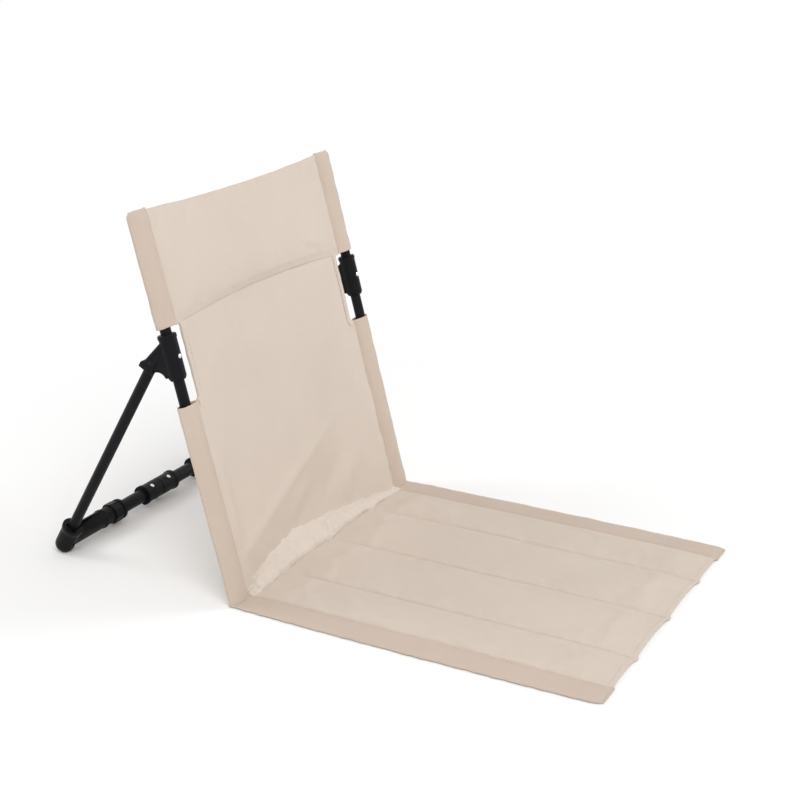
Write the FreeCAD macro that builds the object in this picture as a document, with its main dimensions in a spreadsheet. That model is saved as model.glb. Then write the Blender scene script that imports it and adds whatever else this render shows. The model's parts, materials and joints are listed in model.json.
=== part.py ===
# Folding beach chair: a quilted seat that lies on the ground, a sling back on two tubes, and a
# folding stand behind it. Millimetres, X across the chair, -Y to the front, Z up. The origin is
# in the middle of the footprint, on the ground. The right side is modelled and the left mirrored.
import FreeCAD
import Part
import math
import os
import Sketcher
from FreeCAD import Placement, Rotation, Vector

SIZES = (
    ("chair_width", 400, "outside width of the fabric"),
    ("seat_length", 418, "foot of the back to the front edge of the seat"),
    ("back_length", 429, "ground to the top edge, measured up the back"),
    ("recline", 15.5, "back tubes from the vertical, degrees"),
    ("back_foot_y", 81.6, "where the plane of the back tubes meets the ground"),
    ("crease_height", 14, "fold line of the back above the ground"),
    ("crease_lead", 8, "fold line of the back ahead of the tubes' plane"),
    ("tube_radius", 6, "back tubes and legs"),
    ("tube_wall", 1.2, "wall of every tube"),
    ("tube_spread", 187, "back tube axis from the middle"),
    ("tube_low", 8, "lower end of a back tube, up the back"),
    ("tube_high", 421, "upper end of a back tube, up the back"),
    ("cap_height", 3, "tube cap outside the tube"),
    ("cap_edge", 1.2, "upright edge of a tube cap"),
    ("spigot_length", 16, "plug inside a tube"),
    ("hub_middle", 274.5, "middle of the hub, up the back"),
    ("hub_length", 49, "sleeve of the hub"),
    ("hub_radius", 9.6, "sleeve of the hub"),
    ("hub_rim", 0.6, "rim round the hub's upper end, proud of the sleeve"),
    ("hub_rim_height", 4, "rim round the hub's upper end, with its slope"),
    ("hub_rim_edge", 1, "slope and bevel of the hub's rim"),
    ("hub_bevel", 1.6, "bevel of the hub's lower end, in"),
    ("hub_bevel_height", 3, "bevel of the hub's lower end, up"),
    ("shoulder_drop", 6, "upper end of the hub to the top of its branch"),
    ("web_lift", 4, "lower end of the hub to the web under its branch"),
    ("web_radius", 10.4, "hollow of the web under the hub's branch"),
    ("web_recess", 0.7, "sunk face of the web on either cheek"),
    ("web_start", 4.5, "sunk face of the web from the tube axis"),
    ("web_border", 2, "edge of the branch beside the sunk web"),
    ("branch_round", 3, "round upper edges of the branch"),
    ("leg_angle", 46.4, "leg to back tube when the stand is open, degrees"),
    ("pivot_setback", 25, "hub pin behind the tube axis"),
    ("pivot_drop", 2, "hub pin below the middle of the hub"),
    ("fork_gap", 14.2, "between the cheeks of the hub"),
    ("cheek_wall", 1.6, "cheeks of the hub and the wall that stops the leg"),
    ("branch_reach", 8, "hub pin to the end of the branch"),
    ("branch_lip", 0.3, "lip round the end of the branch, proud of it"),
    ("branch_lip_length", 2.4, "lip round the end of the branch"),
    ("pin_radius", 2.5, "hub pins and foot pins"),
    ("pin_play", 0.05, "running play round a pin, on the radius"),
    ("pin_sink", 0.3, "end of a hub pin below the cheek"),
    ("rivet_radius", 1.5, "shank of a tube rivet"),
    ("rivet_head", 2.5, "head of a tube rivet, radius"),
    ("rivet_head_height", 1.2, "head of a tube rivet"),
    ("eye_radius", 6.3, "moulded eye at either end of a leg"),
    ("eye_play", 0.3, "round an eye and on each side of it"),
    ("leg_neck", 8, "hub pin to the upper end of the leg tube"),
    ("foot_spread", 172, "foot pin from the middle"),
    ("foot_gap", 12.8, "slot of the foot elbow"),
    ("foot_radius", 11, "cup of the foot elbow"),
    ("foot_neck", 12, "foot pin to the lower end of the leg tube"),
    ("cup_height", 21, "foot pin to the mouth of the cup"),
    ("cup_flare", 1.2, "rim of the cup's mouth, proud of the cup"),
    ("cup_rim", 3, "rim of the cup's mouth"),
    ("cup_slope", 5, "slope under the cup's rim"),
    ("foot_pin_length", 18.7, "foot pin, end to end"),
    ("toe_drop", 7.3, "foot pin to the centre of the round toe"),
    ("arm_radius", 10.5, "arm of the foot elbow"),
    ("arm_length", 97, "foot pin to the end of the elbow's collar"),
    ("arm_solid", 66, "foot pin to the end of the crossbar tube in the elbow"),
    ("ridge_reach", 60, "foot pin to the near side of the ridge round the arm"),
    ("ridge_width", 3, "crest of the ridge round the arm"),
    ("ridge_slope", 2, "either slope of the ridge"),
    ("ridge_height", 0.9, "ridge, proud of the arm"),
    ("collar_radius", 12.4, "collar at the end of the elbow"),
    ("collar_flare", 22, "length over which the arm widens to the collar"),
    ("collar_lip", 4, "round lip at the end of the collar"),
    ("facet_start", 20, "faceted grip of the collar, from the collar's end"),
    ("facet_length", 13, "faceted grip of the collar"),
    ("facet_radius", 12.8, "faceted grip of the collar, to its corners"),
    ("gather_angle", 78, "turn of each half of the crossbar when it folds, degrees"),
    ("bar_height", 16.5, "crossbar axis above the ground"),
    ("bar_radius", 8, "crossbar tube"),
    ("knuckle_radius", 11.2, "socket of the centre knuckle"),
    ("knuckle_length", 30, "middle of the crossbar to the end of the knuckle"),
    ("knuckle_wall", 8, "solid end of the knuckle's socket"),
    ("knuckle_play", 0.2, "each half of the knuckle from the middle"),
    ("knuckle_edge", 0.8, "bevel at the middle of the knuckle"),
    ("knuckle_ring", 0.9, "ring at the end of the knuckle, proud of it"),
    ("knuckle_ring_width", 3.4, "ring at the end of the knuckle"),
    ("bar_rivet_at", 16.8, "crossbar rivet from the middle"),
    ("centre_drop", 9.8, "centre pin below the crossbar axis"),
    ("centre_pin_radius", 2, "centre pin"),
    ("ear_radius", 4.2, "ears round the centre pin"),
    ("ear_span", 13, "over both ears"),
    ("tongue", 5, "middle ear"),
    ("ear_play", 0.4, "round the ears and beside the middle ear"),
    ("tongue_root", 7.4, "root of the middle ear along the knuckle"),
    ("tongue_height", 6.4, "root of the middle ear, up"),
    ("sleeve_outside", 13, "tube axis to the outer edge of its fabric sleeve"),
    ("sleeve_inside", 19, "tube axis to the seam of its fabric sleeve"),
    ("sleeve_swell", 7.7, "half the thickness of a sleeve over its tube"),
    ("sleeve_seam", 1.2, "half the thickness of a sleeve at its seam"),
    ("lower_sleeve_low", 4, "lower end of the lower sleeve, up the back"),
    ("lower_sleeve_high", 222, "upper end of the lower sleeve, up the back"),
    ("head_seam", 306, "seam under the headrest, up the back"),
    ("panel_low", 6, "lower edge of the back panel, up the back"),
    ("notch_depth", 6, "hub cut-out in from the sleeve seam"),
    ("notch_round", 5, "corner of the hub cut-out"),
    ("cloth", 2.4, "back panel, two layers sewn together"),
    ("seam_play", 0.4, "between pieces that part when the chair folds"),
    ("head_swell", 4.2, "half the thickness of the headrest"),
    ("head_cover", 1.2, "cloth round the headrest's foam"),
    ("head_border", 7, "edge of the headrest outside its foam"),
    ("band_width", 32, "side bands of the seat"),
    ("band_swell", 110, "radius of a side band's upper face"),
    ("band_fold", 1, "fold at the outer edge of a side band"),
    ("band_edge", 2.1, "thickness of a side band at its fold"),
    ("quilt_step", 100, "between the quilting seams of the seat"),
    ("quilt_border", 3, "quilting seam to the edge of a foam strip"),
    ("quilt_inset", 12, "edge of the seat to the end of a foam strip"),
    ("seat_base", 1.6, "base cloth of the seat"),
    ("seat_cover", 1.4, "upper cloth of the seat"),
    ("crown", 9.4, "foam strip between the middle seams"),
    ("side_crown", 7.6, "foam strip beside a side band"),
    ("seat_rear_gap", 9, "foot of the back to the rear edge of the seat"),
    ("quilt_end", 45, "length over which a channel draws in at its ends"),
    ("scallop_radius", 230, "front edge between two seams"),
    ("welt_radius", 4, "corded welt along the crease"),
    ("welt_flange", 1.6, "cloth that sews the welt to the seat"),
)

SHEET = "Sizes"
X_AXIS = Vector(1, 0, 0)
Y_AXIS = Vector(0, 1, 0)
Z_AXIS = Vector(0, 0, 1)
HEAD_EDGE = 0.3  # upright edge of a head, in head heights
COLLAR_SIDES = 8
TOUCH = 0.001  # two points closer than this are one
# How far along its drawn-in end a channel is, and how much of its crown it has there
FRONT_DRAW_IN = ((0, 0.25), (0.4, 0.75), (1, 1))
REAR_DRAW_IN = ((1, 1), (0.4, 0.8), (0, 0.4))


class Size:
    """A dimension: its value in millimetres or degrees, and the cell expression behind it."""

    def __init__(self, value, text):
        self.value = value
        self.text = text

    @staticmethod
    def of(other):
        if isinstance(other, Size):
            return other
        return Size(float(other), repr(float(other)))

    def __add__(self, other):
        other = Size.of(other)
        return Size(self.value + other.value, f"({self.text} + {other.text})")

    def __sub__(self, other):
        other = Size.of(other)
        return Size(self.value - other.value, f"({self.text} - {other.text})")

    def __mul__(self, other):
        other = Size.of(other)
        return Size(self.value * other.value, f"({self.text} * {other.text})")

    def __truediv__(self, other):
        other = Size.of(other)
        return Size(self.value / other.value, f"({self.text} / {other.text})")

    def __radd__(self, other):
        return Size.of(other) + self

    def __rsub__(self, other):
        return Size.of(other) - self

    def __rmul__(self, other):
        return Size.of(other) * self

    def __neg__(self):
        return Size(-self.value, f"(0 - {self.text})")


def sine(angle):
    return Size(math.sin(math.radians(angle.value)), f"sin({angle.text})")


def cosine(angle):
    return Size(math.cos(math.radians(angle.value)), f"cos({angle.text})")


def dome_radius(half_width, rise):
    """Radius of the arc over a chord, from half the chord and the arc's rise."""
    return (half_width * half_width + rise * rise) / (2 * rise)


def arc_tangent(rise, run):
    angle = math.degrees(math.atan2(rise.value, run.value))
    return Size(angle, f"(atan({rise.text} / {run.text}) / (1 deg))")


doc = FreeCAD.newDocument("folding_beach_chair")
sheet = doc.addObject("Spreadsheet::Sheet", SHEET)


class Sizes:
    """The driving dimensions, by name."""


mm = Sizes()
for row, (alias, number, meaning) in enumerate(SIZES, start=1):
    sheet.set(f"A{row}", meaning)
    sheet.set(f"B{row}", str(number))
    sheet.setAlias(f"B{row}", alias)
    setattr(mm, alias, Size(number, f"{SHEET}.{alias}"))
doc.recompute()

# The open stand, in the plane of the legs
lean = mm.leg_angle - mm.recline
pivot_along = mm.hub_middle - mm.pivot_drop
pivot_y = mm.back_foot_y + pivot_along * sine(mm.recline) + mm.pivot_setback * cosine(mm.recline)
pivot_z = pivot_along * cosine(mm.recline) - mm.pivot_setback * sine(mm.recline)
leg_drop = (pivot_z - mm.bar_height) / cosine(lean)
foot_y = pivot_y + leg_drop * sine(lean)
taper = arc_tangent(mm.tube_spread - mm.foot_spread, leg_drop)
leg_length = leg_drop / cosine(taper)
tube_bore = mm.tube_radius - mm.tube_wall
crease_y = mm.back_foot_y + mm.crease_height * sine(mm.recline) / cosine(mm.recline)
crease_y = crease_y - mm.crease_lead / cosine(mm.recline)


def on_back(x, along):
    """A place on the back: local Z runs up the tubes, local Y to the rear."""
    turn = Rotation(X_AXIS, -mm.recline.value)
    foot = Vector(x.value, mm.back_foot_y.value, 0)
    return Placement(foot + turn.multVec(Vector(0, 0, along.value)), turn)


def on_stand(x, y, z):
    """A place in the plane of the legs: local Z runs up that plane, local Y square to it."""
    return Placement(Vector(x.value, y.value, z.value), Rotation(X_AXIS, lean.value))


hub_place = on_back(-mm.tube_spread, mm.hub_middle)
pivot_place = on_stand(-mm.tube_spread, pivot_y, pivot_z)
foot_place = on_stand(-mm.foot_spread, foot_y, mm.bar_height)
centre_place = on_stand(Size.of(0), foot_y, mm.bar_height)
along_leg = Placement(Vector(), Rotation(Y_AXIS, -taper.value))
across = Placement(Vector(), Rotation(Y_AXIS, 90))
square = Placement(Vector(), Rotation(X_AXIS, -90))


# Drawing


def new_body(label, place):
    body = doc.addObject("PartDesign::Body", label)
    body.Label = label
    body.Placement = place
    return body


def new_sketch(body, plane, offset=None):
    sketch = body.newObject("Sketcher::SketchObject", f"{body.Name}_sketch")
    support = [f for f in body.Origin.OriginFeatures if f.Role == plane]
    sketch.AttachmentSupport = [(support[0], "")]
    sketch.MapMode = "FlatFace"
    if offset is not None:
        sketch.setExpression("AttachmentOffset.Base.z", offset.text)
    return sketch


def pin_down(sketch, geometry, end, point):
    """Ties one end of a sketch curve to a point given in cells."""
    for kind, size in zip(("DistanceX", "DistanceY"), point):
        index = sketch.addConstraint(Sketcher.Constraint(kind, -1, 1, geometry, end, size.value))
        sketch.setExpression(f"Constraints[{index}]", size.text)


def set_radius(sketch, geometry, radius):
    index = sketch.addConstraint(Sketcher.Constraint("Radius", geometry, radius.value))
    sketch.setExpression(f"Constraints[{index}]", radius.text)


def draw_circle(sketch, x, y, radius):
    centre = (Size.of(x), Size.of(y))
    middle = Vector(centre[0].value, centre[1].value, 0)
    index = sketch.addGeometry(Part.Circle(middle, Vector(0, 0, 1), radius.value))
    pin_down(sketch, index, 3, centre)
    set_radius(sketch, index, radius)


def arc_through(start, finish, radius, left):
    """An arc under a half circle, whose centre is on the left or the right of the way it runs."""
    run = finish - start
    normal = Vector(-run.y, run.x, 0).normalize()
    depth = math.sqrt(radius ** 2 - (run.Length / 2) ** 2)
    middle = (start + finish) / 2 + normal * (depth if left else -depth)
    first, last = (start, finish) if left else (finish, start)
    angles = [math.atan2(p.y - middle.y, p.x - middle.x) for p in (first, last)]
    if angles[1] < angles[0]:
        angles[1] += 2 * math.pi
    return Part.ArcOfCircle(Part.Circle(middle, Vector(0, 0, 1), radius), *angles)


def draw_outline(sketch, *corners):
    """A closed outline. A corner is (x, y), or (x, y, radius, "left" or "right") before an arc."""
    points = [(Size.of(c[0]), Size.of(c[1])) for c in corners]
    places = [Vector(x.value, y.value, 0) for x, y in points]
    ends = []
    for i, corner in enumerate(corners):
        start, finish = places[i], places[(i + 1) % len(corners)]
        if len(corner) == 2:
            index = sketch.addGeometry(Part.LineSegment(start, finish))
            ends.append((index, 1, 2))
            continue
        left = corner[3] == "left"
        radius = Size.of(corner[2])
        index = sketch.addGeometry(arc_through(start, finish, radius.value, left))
        ends.append((index, 1, 2) if left else (index, 2, 1))
        set_radius(sketch, index, radius)
    for i, (index, first, last) in enumerate(ends):
        after, after_first, _ = ends[(i + 1) % len(ends)]
        sketch.addConstraint(Sketcher.Constraint("Coincident", index, last, after, after_first))
        pin_down(sketch, index, first, points[i])


def draw_axis(sketch, start, finish):
    """A construction line that a profile turns round."""
    ends = [Vector(p[0].value, p[1].value, 0) for p in (start, finish)]
    index = sketch.addGeometry(Part.LineSegment(*ends), True)
    pin_down(sketch, index, 1, start)
    pin_down(sketch, index, 2, finish)


def add_feature(body, kind, sketch):
    feature = body.newObject(f"PartDesign::{kind}", f"{body.Name}_{kind.lower()}")
    feature.Profile = sketch
    return feature


def pad(body, sketch, length, symmetric=False):
    feature = add_feature(body, "Pad", sketch)
    feature.setExpression("Length", length.text)
    if symmetric:
        feature.SideType = "Symmetric"


def pocket(body, sketch, length, symmetric=False, forward=False):
    """Cuts against the sketch's normal, or along it where forward is set."""
    before = solid_volume(body)
    feature = add_feature(body, "Pocket", sketch)
    feature.setExpression("Length", length.text)
    feature.Reversed = forward
    if symmetric:
        feature.SideType = "Symmetric"
    if solid_volume(body) >= before:
        raise RuntimeError(f"{feature.Name} cuts nothing")


def revolve(body, sketch, axis):
    feature = add_feature(body, "Revolution", sketch)
    feature.ReferenceAxis = (sketch, [axis])
    feature.Angle = 360


def round_slope(body, low_end, radius):
    """Rounds the two edges that rise from a low end, which is given as it looks along X."""
    doc.recompute()
    base = body.Tip
    names = []
    for index, edge in enumerate(base.Shape.Edges, start=1):
        ends = sorted((v.Point for v in edge.Vertexes), key=lambda point: point.z)
        low = Vector(0, ends[0].y, ends[0].z)
        if low.isEqual(low_end, TOUCH) and ends[-1].z > low.z + radius.value:
            names.append(f"Edge{index}")
    feature = body.newObject("PartDesign::Fillet", f"{body.Name}_fillet")
    feature.Base = (base, names)
    feature.setExpression("Radius", radius.text)


def solid_volume(body):
    doc.recompute()
    return body.Shape.Volume


def mirror(body, label):
    """The left-hand copy of a right-hand piece."""
    copy = doc.addObject("Part::Mirroring", label)
    copy.Source = body
    copy.Normal = X_AXIS
    return copy


# Tubes, caps and pins


def tube(label, radius, length, place, rivet_at=None):
    """A tube up local Z, with a rivet hole in its front wall where one is given."""
    body = new_body(label, place)
    ring = new_sketch(body, "XY_Plane")
    draw_circle(ring, 0, 0, radius)
    draw_circle(ring, 0, 0, radius - mm.tube_wall)
    pad(body, ring, length)
    if rivet_at is not None:
        hole = new_sketch(body, "XZ_Plane")
        draw_circle(hole, 0, rivet_at, mm.rivet_radius)
        pocket(body, hole, radius * 2, forward=True)
    return body


def cap(label, place):
    """A moulded plug: a domed head on the tube's end and a spigot inside it."""
    body = new_body(label, place)
    dome = dome_radius(mm.tube_radius, mm.cap_height - mm.cap_edge)
    half = new_sketch(body, "XZ_Plane")
    draw_outline(
        half,
        (0, -mm.spigot_length),
        (tube_bore, -mm.spigot_length),
        (tube_bore, 0),
        (mm.tube_radius, 0),
        (mm.tube_radius, mm.cap_edge, dome, "left"),
        (0, mm.cap_height),
    )
    revolve(body, half, "V_Axis")
    return body


def pin(label, radius, length, place):
    """A plain pin along local Z, about the place."""
    body = new_body(label, place)
    ring = new_sketch(body, "XY_Plane")
    draw_circle(ring, 0, 0, radius)
    pad(body, ring, length, symmetric=True)
    return body


def rivet(label, shank, place):
    """A blind rivet: domed head above the place, shank below it."""
    body = new_body(label, place)
    edge = mm.rivet_head_height * HEAD_EDGE
    dome = dome_radius(mm.rivet_head, mm.rivet_head_height - edge)
    half = new_sketch(body, "XZ_Plane")
    draw_outline(
        half,
        (0, -shank),
        (mm.rivet_radius, -shank),
        (mm.rivet_radius, 0),
        (mm.rivet_head, 0),
        (mm.rivet_head, edge, dome, "left"),
        (0, mm.rivet_head_height),
    )
    revolve(body, half, "V_Axis")
    return body


def cylinder(name, radius, length, place):
    shape = doc.addObject("Part::Cylinder", name)
    shape.setExpression("Radius", radius.text)
    shape.setExpression("Height", length.text)
    shape.Placement = place
    return shape


def leg_eye(label, width, neck, pin_turn, downward, place):
    """An eye round a pin, with a neck as thick as the leg and a spigot inside its tube."""
    half = Placement(Vector(0, 0, -width.value / 2), Rotation())
    flip = Placement(Vector(), Rotation(X_AXIS, 180 if downward else 0))
    along = along_leg * flip
    beyond = along * Placement(Vector(0, 0, neck.value), Rotation())
    solid = doc.addObject("Part::MultiFuse", f"{label}_solid")
    solid.Shapes = [
        cylinder(f"{label}_ring", mm.eye_radius, width, pin_turn * half),
        cylinder(f"{label}_neck", mm.tube_radius, neck, along),
        cylinder(f"{label}_spigot", tube_bore, mm.spigot_length, beyond),
    ]
    piece = doc.addObject("Part::Cut", label)
    piece.Base = solid
    piece.Tool = cylinder(f"{label}_bore", mm.pin_radius + mm.pin_play, width, pin_turn * half)
    piece.Placement = place
    return piece


# Hub: a sleeve on the back tube, with a forked branch that holds the leg's upper eye


def along_branch(past, aside):
    """A point of the hub's side view: past the hub pin down the leg, and aside from its axis."""
    y = mm.pivot_setback + past * sine(mm.leg_angle) + aside * cosine(mm.leg_angle)
    z = aside * sine(mm.leg_angle) - past * cosine(mm.leg_angle) - mm.pivot_drop
    return y, z


def hub(label):
    body = new_body(label, hub_place)
    half_length = mm.hub_length / 2
    rim_radius = mm.hub_radius + mm.hub_rim
    rim_low = half_length - mm.hub_rim_height - mm.hub_rim_edge
    sleeve = new_sketch(body, "XZ_Plane")
    draw_outline(
        sleeve,
        (0, -half_length),
        (mm.hub_radius - mm.hub_bevel, -half_length),
        (mm.hub_radius, mm.hub_bevel_height - half_length),
        (mm.hub_radius, rim_low),
        (rim_radius, rim_low + mm.hub_rim_edge),
        (rim_radius, half_length - mm.hub_rim_edge),
        (rim_radius - mm.hub_rim_edge, half_length),
        (0, half_length),
    )
    revolve(body, sleeve, "V_Axis")

    wide = mm.fork_gap / 2 + mm.cheek_wall - mm.pin_play
    width = mm.fork_gap + 2 * mm.cheek_wall
    shoulder = half_length - mm.shoulder_drop
    web_low = mm.web_lift - half_length
    upper_end = along_branch(mm.branch_reach, wide)
    lower_end = along_branch(mm.branch_reach, -wide)
    branch = new_sketch(body, "YZ_Plane")
    draw_outline(
        branch,
        (0, shoulder),
        (mm.web_start, shoulder),
        upper_end,
        (*lower_end, mm.web_radius, "left"),
        (mm.hub_radius, web_low),
        (0, web_low),
    )
    pad(body, branch, width, symmetric=True)
    slope = Vector(0, upper_end[0].value, upper_end[1].value)
    round_slope(body, slope, mm.branch_round)

    for side in (-1, 1):
        web = new_sketch(body, "YZ_Plane", width / 2 * side)
        inner = mm.web_border - wide
        web_end = along_branch(mm.branch_reach, inner)
        draw_outline(
            web,
            (mm.web_start, web_low * 2),
            (mm.web_start, along_branch(-mm.branch_reach, inner)[1]),
            along_branch(-mm.branch_reach, inner),
            web_end,
            (web_end[0], web_low * 2),
        )
        pocket(body, web, mm.web_recess, forward=side < 0)

    lip = new_sketch(body, "YZ_Plane")
    lip_start = mm.branch_reach - mm.branch_lip_length
    proud = wide + mm.branch_lip
    draw_outline(
        lip,
        along_branch(lip_start, proud),
        along_branch(mm.branch_reach, proud),
        along_branch(mm.branch_reach, -proud),
        along_branch(lip_start, -proud),
    )
    pad(body, lip, width + 2 * mm.branch_lip, symmetric=True)

    room = mm.eye_radius + mm.eye_play
    swing = mm.hub_length
    slot = new_sketch(body, "YZ_Plane")
    folded_side = mm.pivot_setback - room
    draw_outline(
        slot,
        (folded_side, -mm.pivot_drop, room, "right"),
        along_branch(Size.of(0), room),
        along_branch(swing, room),
        (folded_side, -swing),
    )
    pocket(body, slot, mm.fork_gap, symmetric=True)

    pin_hole = new_sketch(body, "YZ_Plane")
    draw_circle(pin_hole, mm.pivot_setback, -mm.pivot_drop, mm.pin_radius)
    pocket(body, pin_hole, width * 2, symmetric=True)

    bore = new_sketch(body, "XY_Plane")
    draw_circle(bore, 0, 0, mm.tube_radius)
    pocket(body, bore, mm.hub_length * 2, symmetric=True)

    rivet_hole = new_sketch(body, "XZ_Plane")
    draw_circle(rivet_hole, 0, 0, mm.rivet_radius)
    pocket(body, rivet_hole, mm.hub_radius * 2, forward=True)
    return body


# Foot elbow: a cup round the leg's lower eye, a slotted arm, and a collar for the crossbar


def up_leg(aside, along):
    """A point of the elbow's view square to the legs: aside from the leg's axis, and up it."""
    x = aside * cosine(taper) - along * sine(taper)
    z = aside * sine(taper) + along * cosine(taper)
    return x, z


def foot_elbow(label):
    body = new_body(label, foot_place)
    ridge = mm.arm_radius + mm.ridge_height
    crest = mm.ridge_reach + mm.ridge_width
    lip = mm.arm_length - mm.collar_lip
    arm = new_sketch(body, "XZ_Plane")
    draw_outline(
        arm,
        (0, 0),
        (0, mm.arm_radius),
        (mm.ridge_reach - mm.ridge_slope, mm.arm_radius),
        (mm.ridge_reach, ridge),
        (crest, ridge),
        (crest + mm.ridge_slope, mm.arm_radius),
        (mm.arm_length - mm.collar_flare, mm.arm_radius),
        (lip, ridge),
        (lip, mm.collar_radius),
        (mm.arm_length, mm.collar_radius),
        (mm.arm_length, 0),
    )
    revolve(body, arm, "H_Axis")

    collar = new_sketch(body, "YZ_Plane", mm.arm_length - mm.facet_start)
    turns = [Size.of(360 * (i + 0.5) / COLLAR_SIDES) for i in range(COLLAR_SIDES)]
    corners = [(mm.facet_radius * cosine(turn), mm.facet_radius * sine(turn)) for turn in turns]
    draw_outline(collar, *corners)
    pad(body, collar, mm.facet_length)

    mouth = mm.cup_height
    rim_low = mouth - mm.cup_rim
    rim_radius = mm.foot_radius + mm.cup_flare
    toe = mm.toe_drop + mm.foot_radius
    cup = new_sketch(body, "XZ_Plane")
    draw_outline(
        cup,
        (*up_leg(Size.of(0), -toe), mm.foot_radius, "left"),
        up_leg(mm.foot_radius, -mm.toe_drop),
        up_leg(mm.foot_radius, rim_low - mm.cup_slope),
        up_leg(rim_radius, rim_low),
        up_leg(rim_radius, mouth),
        up_leg(Size.of(0), mouth),
    )
    draw_axis(cup, up_leg(Size.of(0), -toe), up_leg(Size.of(0), mouth))
    revolve(body, cup, "Axis0")

    room = mm.eye_radius + mm.eye_play
    folded = taper + 90 - mm.gather_angle
    seat_x = room * sine(folded)
    seat_z = -room * cosine(folded)
    swing = mm.arm_length + mm.arm_solid / 2
    slot = new_sketch(body, "XZ_Plane")
    draw_outline(
        slot,
        (*up_leg(-room, Size.of(0)), room, "left"),
        (seat_x, seat_z),
        (seat_x + swing * cosine(folded), seat_z + swing * sine(folded)),
        up_leg(-room, swing / 2),
    )
    pocket(body, slot, mm.foot_gap, symmetric=True)

    pin_hole = new_sketch(body, "XZ_Plane")
    draw_circle(pin_hole, 0, 0, mm.pin_radius)
    pocket(body, pin_hole, mm.foot_radius * 4, symmetric=True)

    socket = new_sketch(body, "YZ_Plane", mm.arm_length)
    draw_circle(socket, 0, 0, mm.bar_radius)
    pocket(body, socket, mm.arm_length - mm.arm_solid)

    sole = new_sketch(body, "YZ_Plane")
    floor_y = -mm.bar_height * sine(lean)
    floor_z = -mm.bar_height * cosine(lean)
    far_y = mm.arm_length * cosine(lean)
    far_z = mm.arm_length * sine(lean)
    draw_outline(
        sole,
        (floor_y - far_y, floor_z + far_z),
        (floor_y + far_y, floor_z - far_z),
        (floor_y + far_y - far_z, floor_z - far_z - far_y),
        (floor_y - far_y - far_z, floor_z + far_z - far_y),
    )
    pocket(body, sole, mm.arm_length * 3, symmetric=True)
    return body


# Centre knuckle: two sockets hinged below the crossbar, so that the halves fold side by side


def knuckle(label, side):
    """Half of the knuckle: side is -1 for the forked right half, 1 for the left half's tongue."""
    body = new_body(label, centre_place)
    end = mm.knuckle_length * side
    face = mm.knuckle_play * side
    ring = mm.knuckle_radius + mm.knuckle_ring
    ring_start = end - mm.knuckle_ring_width * side
    socket = new_sketch(body, "XZ_Plane")
    draw_outline(
        socket,
        (face, 0),
        (face, mm.knuckle_radius - mm.knuckle_edge),
        (face + mm.knuckle_edge * side, mm.knuckle_radius),
        (ring_start - mm.knuckle_edge * side, mm.knuckle_radius),
        (ring_start, ring),
        (end, ring),
        (end, 0),
    )
    revolve(body, socket, "H_Axis")

    flat_z = mm.ear_play - mm.centre_drop
    flat = new_sketch(body, "XZ_Plane")
    draw_outline(
        flat,
        (0, flat_z),
        (end * 2, flat_z),
        (end * 2, flat_z * 3),
        (0, flat_z * 3),
    )
    pocket(body, flat, mm.knuckle_length * 2, symmetric=True)

    room = mm.ear_radius + mm.ear_play
    if side < 0:
        ears = new_sketch(body, "XZ_Plane")
        draw_circle(ears, 0, -mm.centre_drop, mm.ear_radius)
        pad(body, ears, mm.ear_span, symmetric=True)
        gap = new_sketch(body, "XZ_Plane")
        draw_circle(gap, 0, -mm.centre_drop, room)
        pocket(body, gap, mm.tongue + 2 * mm.ear_play, symmetric=True)
    else:
        gap = new_sketch(body, "XZ_Plane")
        draw_circle(gap, 0, -mm.centre_drop, room)
        pocket(body, gap, mm.knuckle_length * 2, symmetric=True)
        root = new_sketch(body, "XZ_Plane")
        draw_outline(
            root,
            (face, flat_z),
            (face + mm.tongue_root, flat_z),
            (face + mm.tongue_root, flat_z + mm.tongue_height),
            (face, flat_z + mm.tongue_height),
        )
        pad(body, root, mm.tongue, symmetric=True)
        ear = new_sketch(body, "XZ_Plane")
        draw_circle(ear, 0, -mm.centre_drop, mm.ear_radius)
        pad(body, ear, mm.tongue, symmetric=True)

    pin_hole = new_sketch(body, "XZ_Plane")
    hole_radius = mm.centre_pin_radius
    if side > 0:
        hole_radius = hole_radius + mm.pin_play
    draw_circle(pin_hole, 0, -mm.centre_drop, hole_radius)
    pocket(body, pin_hole, mm.knuckle_length * 2, symmetric=True)

    bore = new_sketch(body, "YZ_Plane", end)
    draw_circle(bore, 0, 0, mm.bar_radius)
    pocket(body, bore, mm.knuckle_length - mm.knuckle_wall, forward=side < 0)

    rivet_hole = new_sketch(body, "XY_Plane")
    draw_circle(rivet_hole, mm.bar_rivet_at * side, 0, mm.rivet_radius)
    pocket(body, rivet_hole, mm.knuckle_radius * 2, forward=True)
    return body


# Fabric of the back


def sleeve(label, low, high, closed_top):
    """A flat fabric sleeve round a back tube, swollen where the tube runs through it."""
    body = new_body(label, on_back(-mm.tube_spread, Size.of(0)))
    section = new_sketch(body, "XY_Plane", low)
    half_width = (mm.sleeve_outside + mm.sleeve_inside) / 2
    bulge = mm.sleeve_swell - mm.sleeve_seam
    sweep = dome_radius(half_width, bulge)
    draw_outline(
        section,
        (-mm.sleeve_outside, -mm.sleeve_seam, sweep, "left"),
        (mm.sleeve_inside, -mm.sleeve_seam),
        (mm.sleeve_inside, mm.sleeve_seam, sweep, "left"),
        (-mm.sleeve_outside, mm.sleeve_seam),
    )
    pad(body, section, high - low)
    room = new_sketch(body, "XY_Plane", low)
    draw_circle(room, 0, 0, mm.tube_radius + mm.pin_play)
    depth = high - low
    if closed_top:
        depth = mm.tube_high + mm.cap_height - low
    pocket(body, room, depth, forward=True)
    return body


seam_x = mm.tube_spread - mm.sleeve_inside


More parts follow.
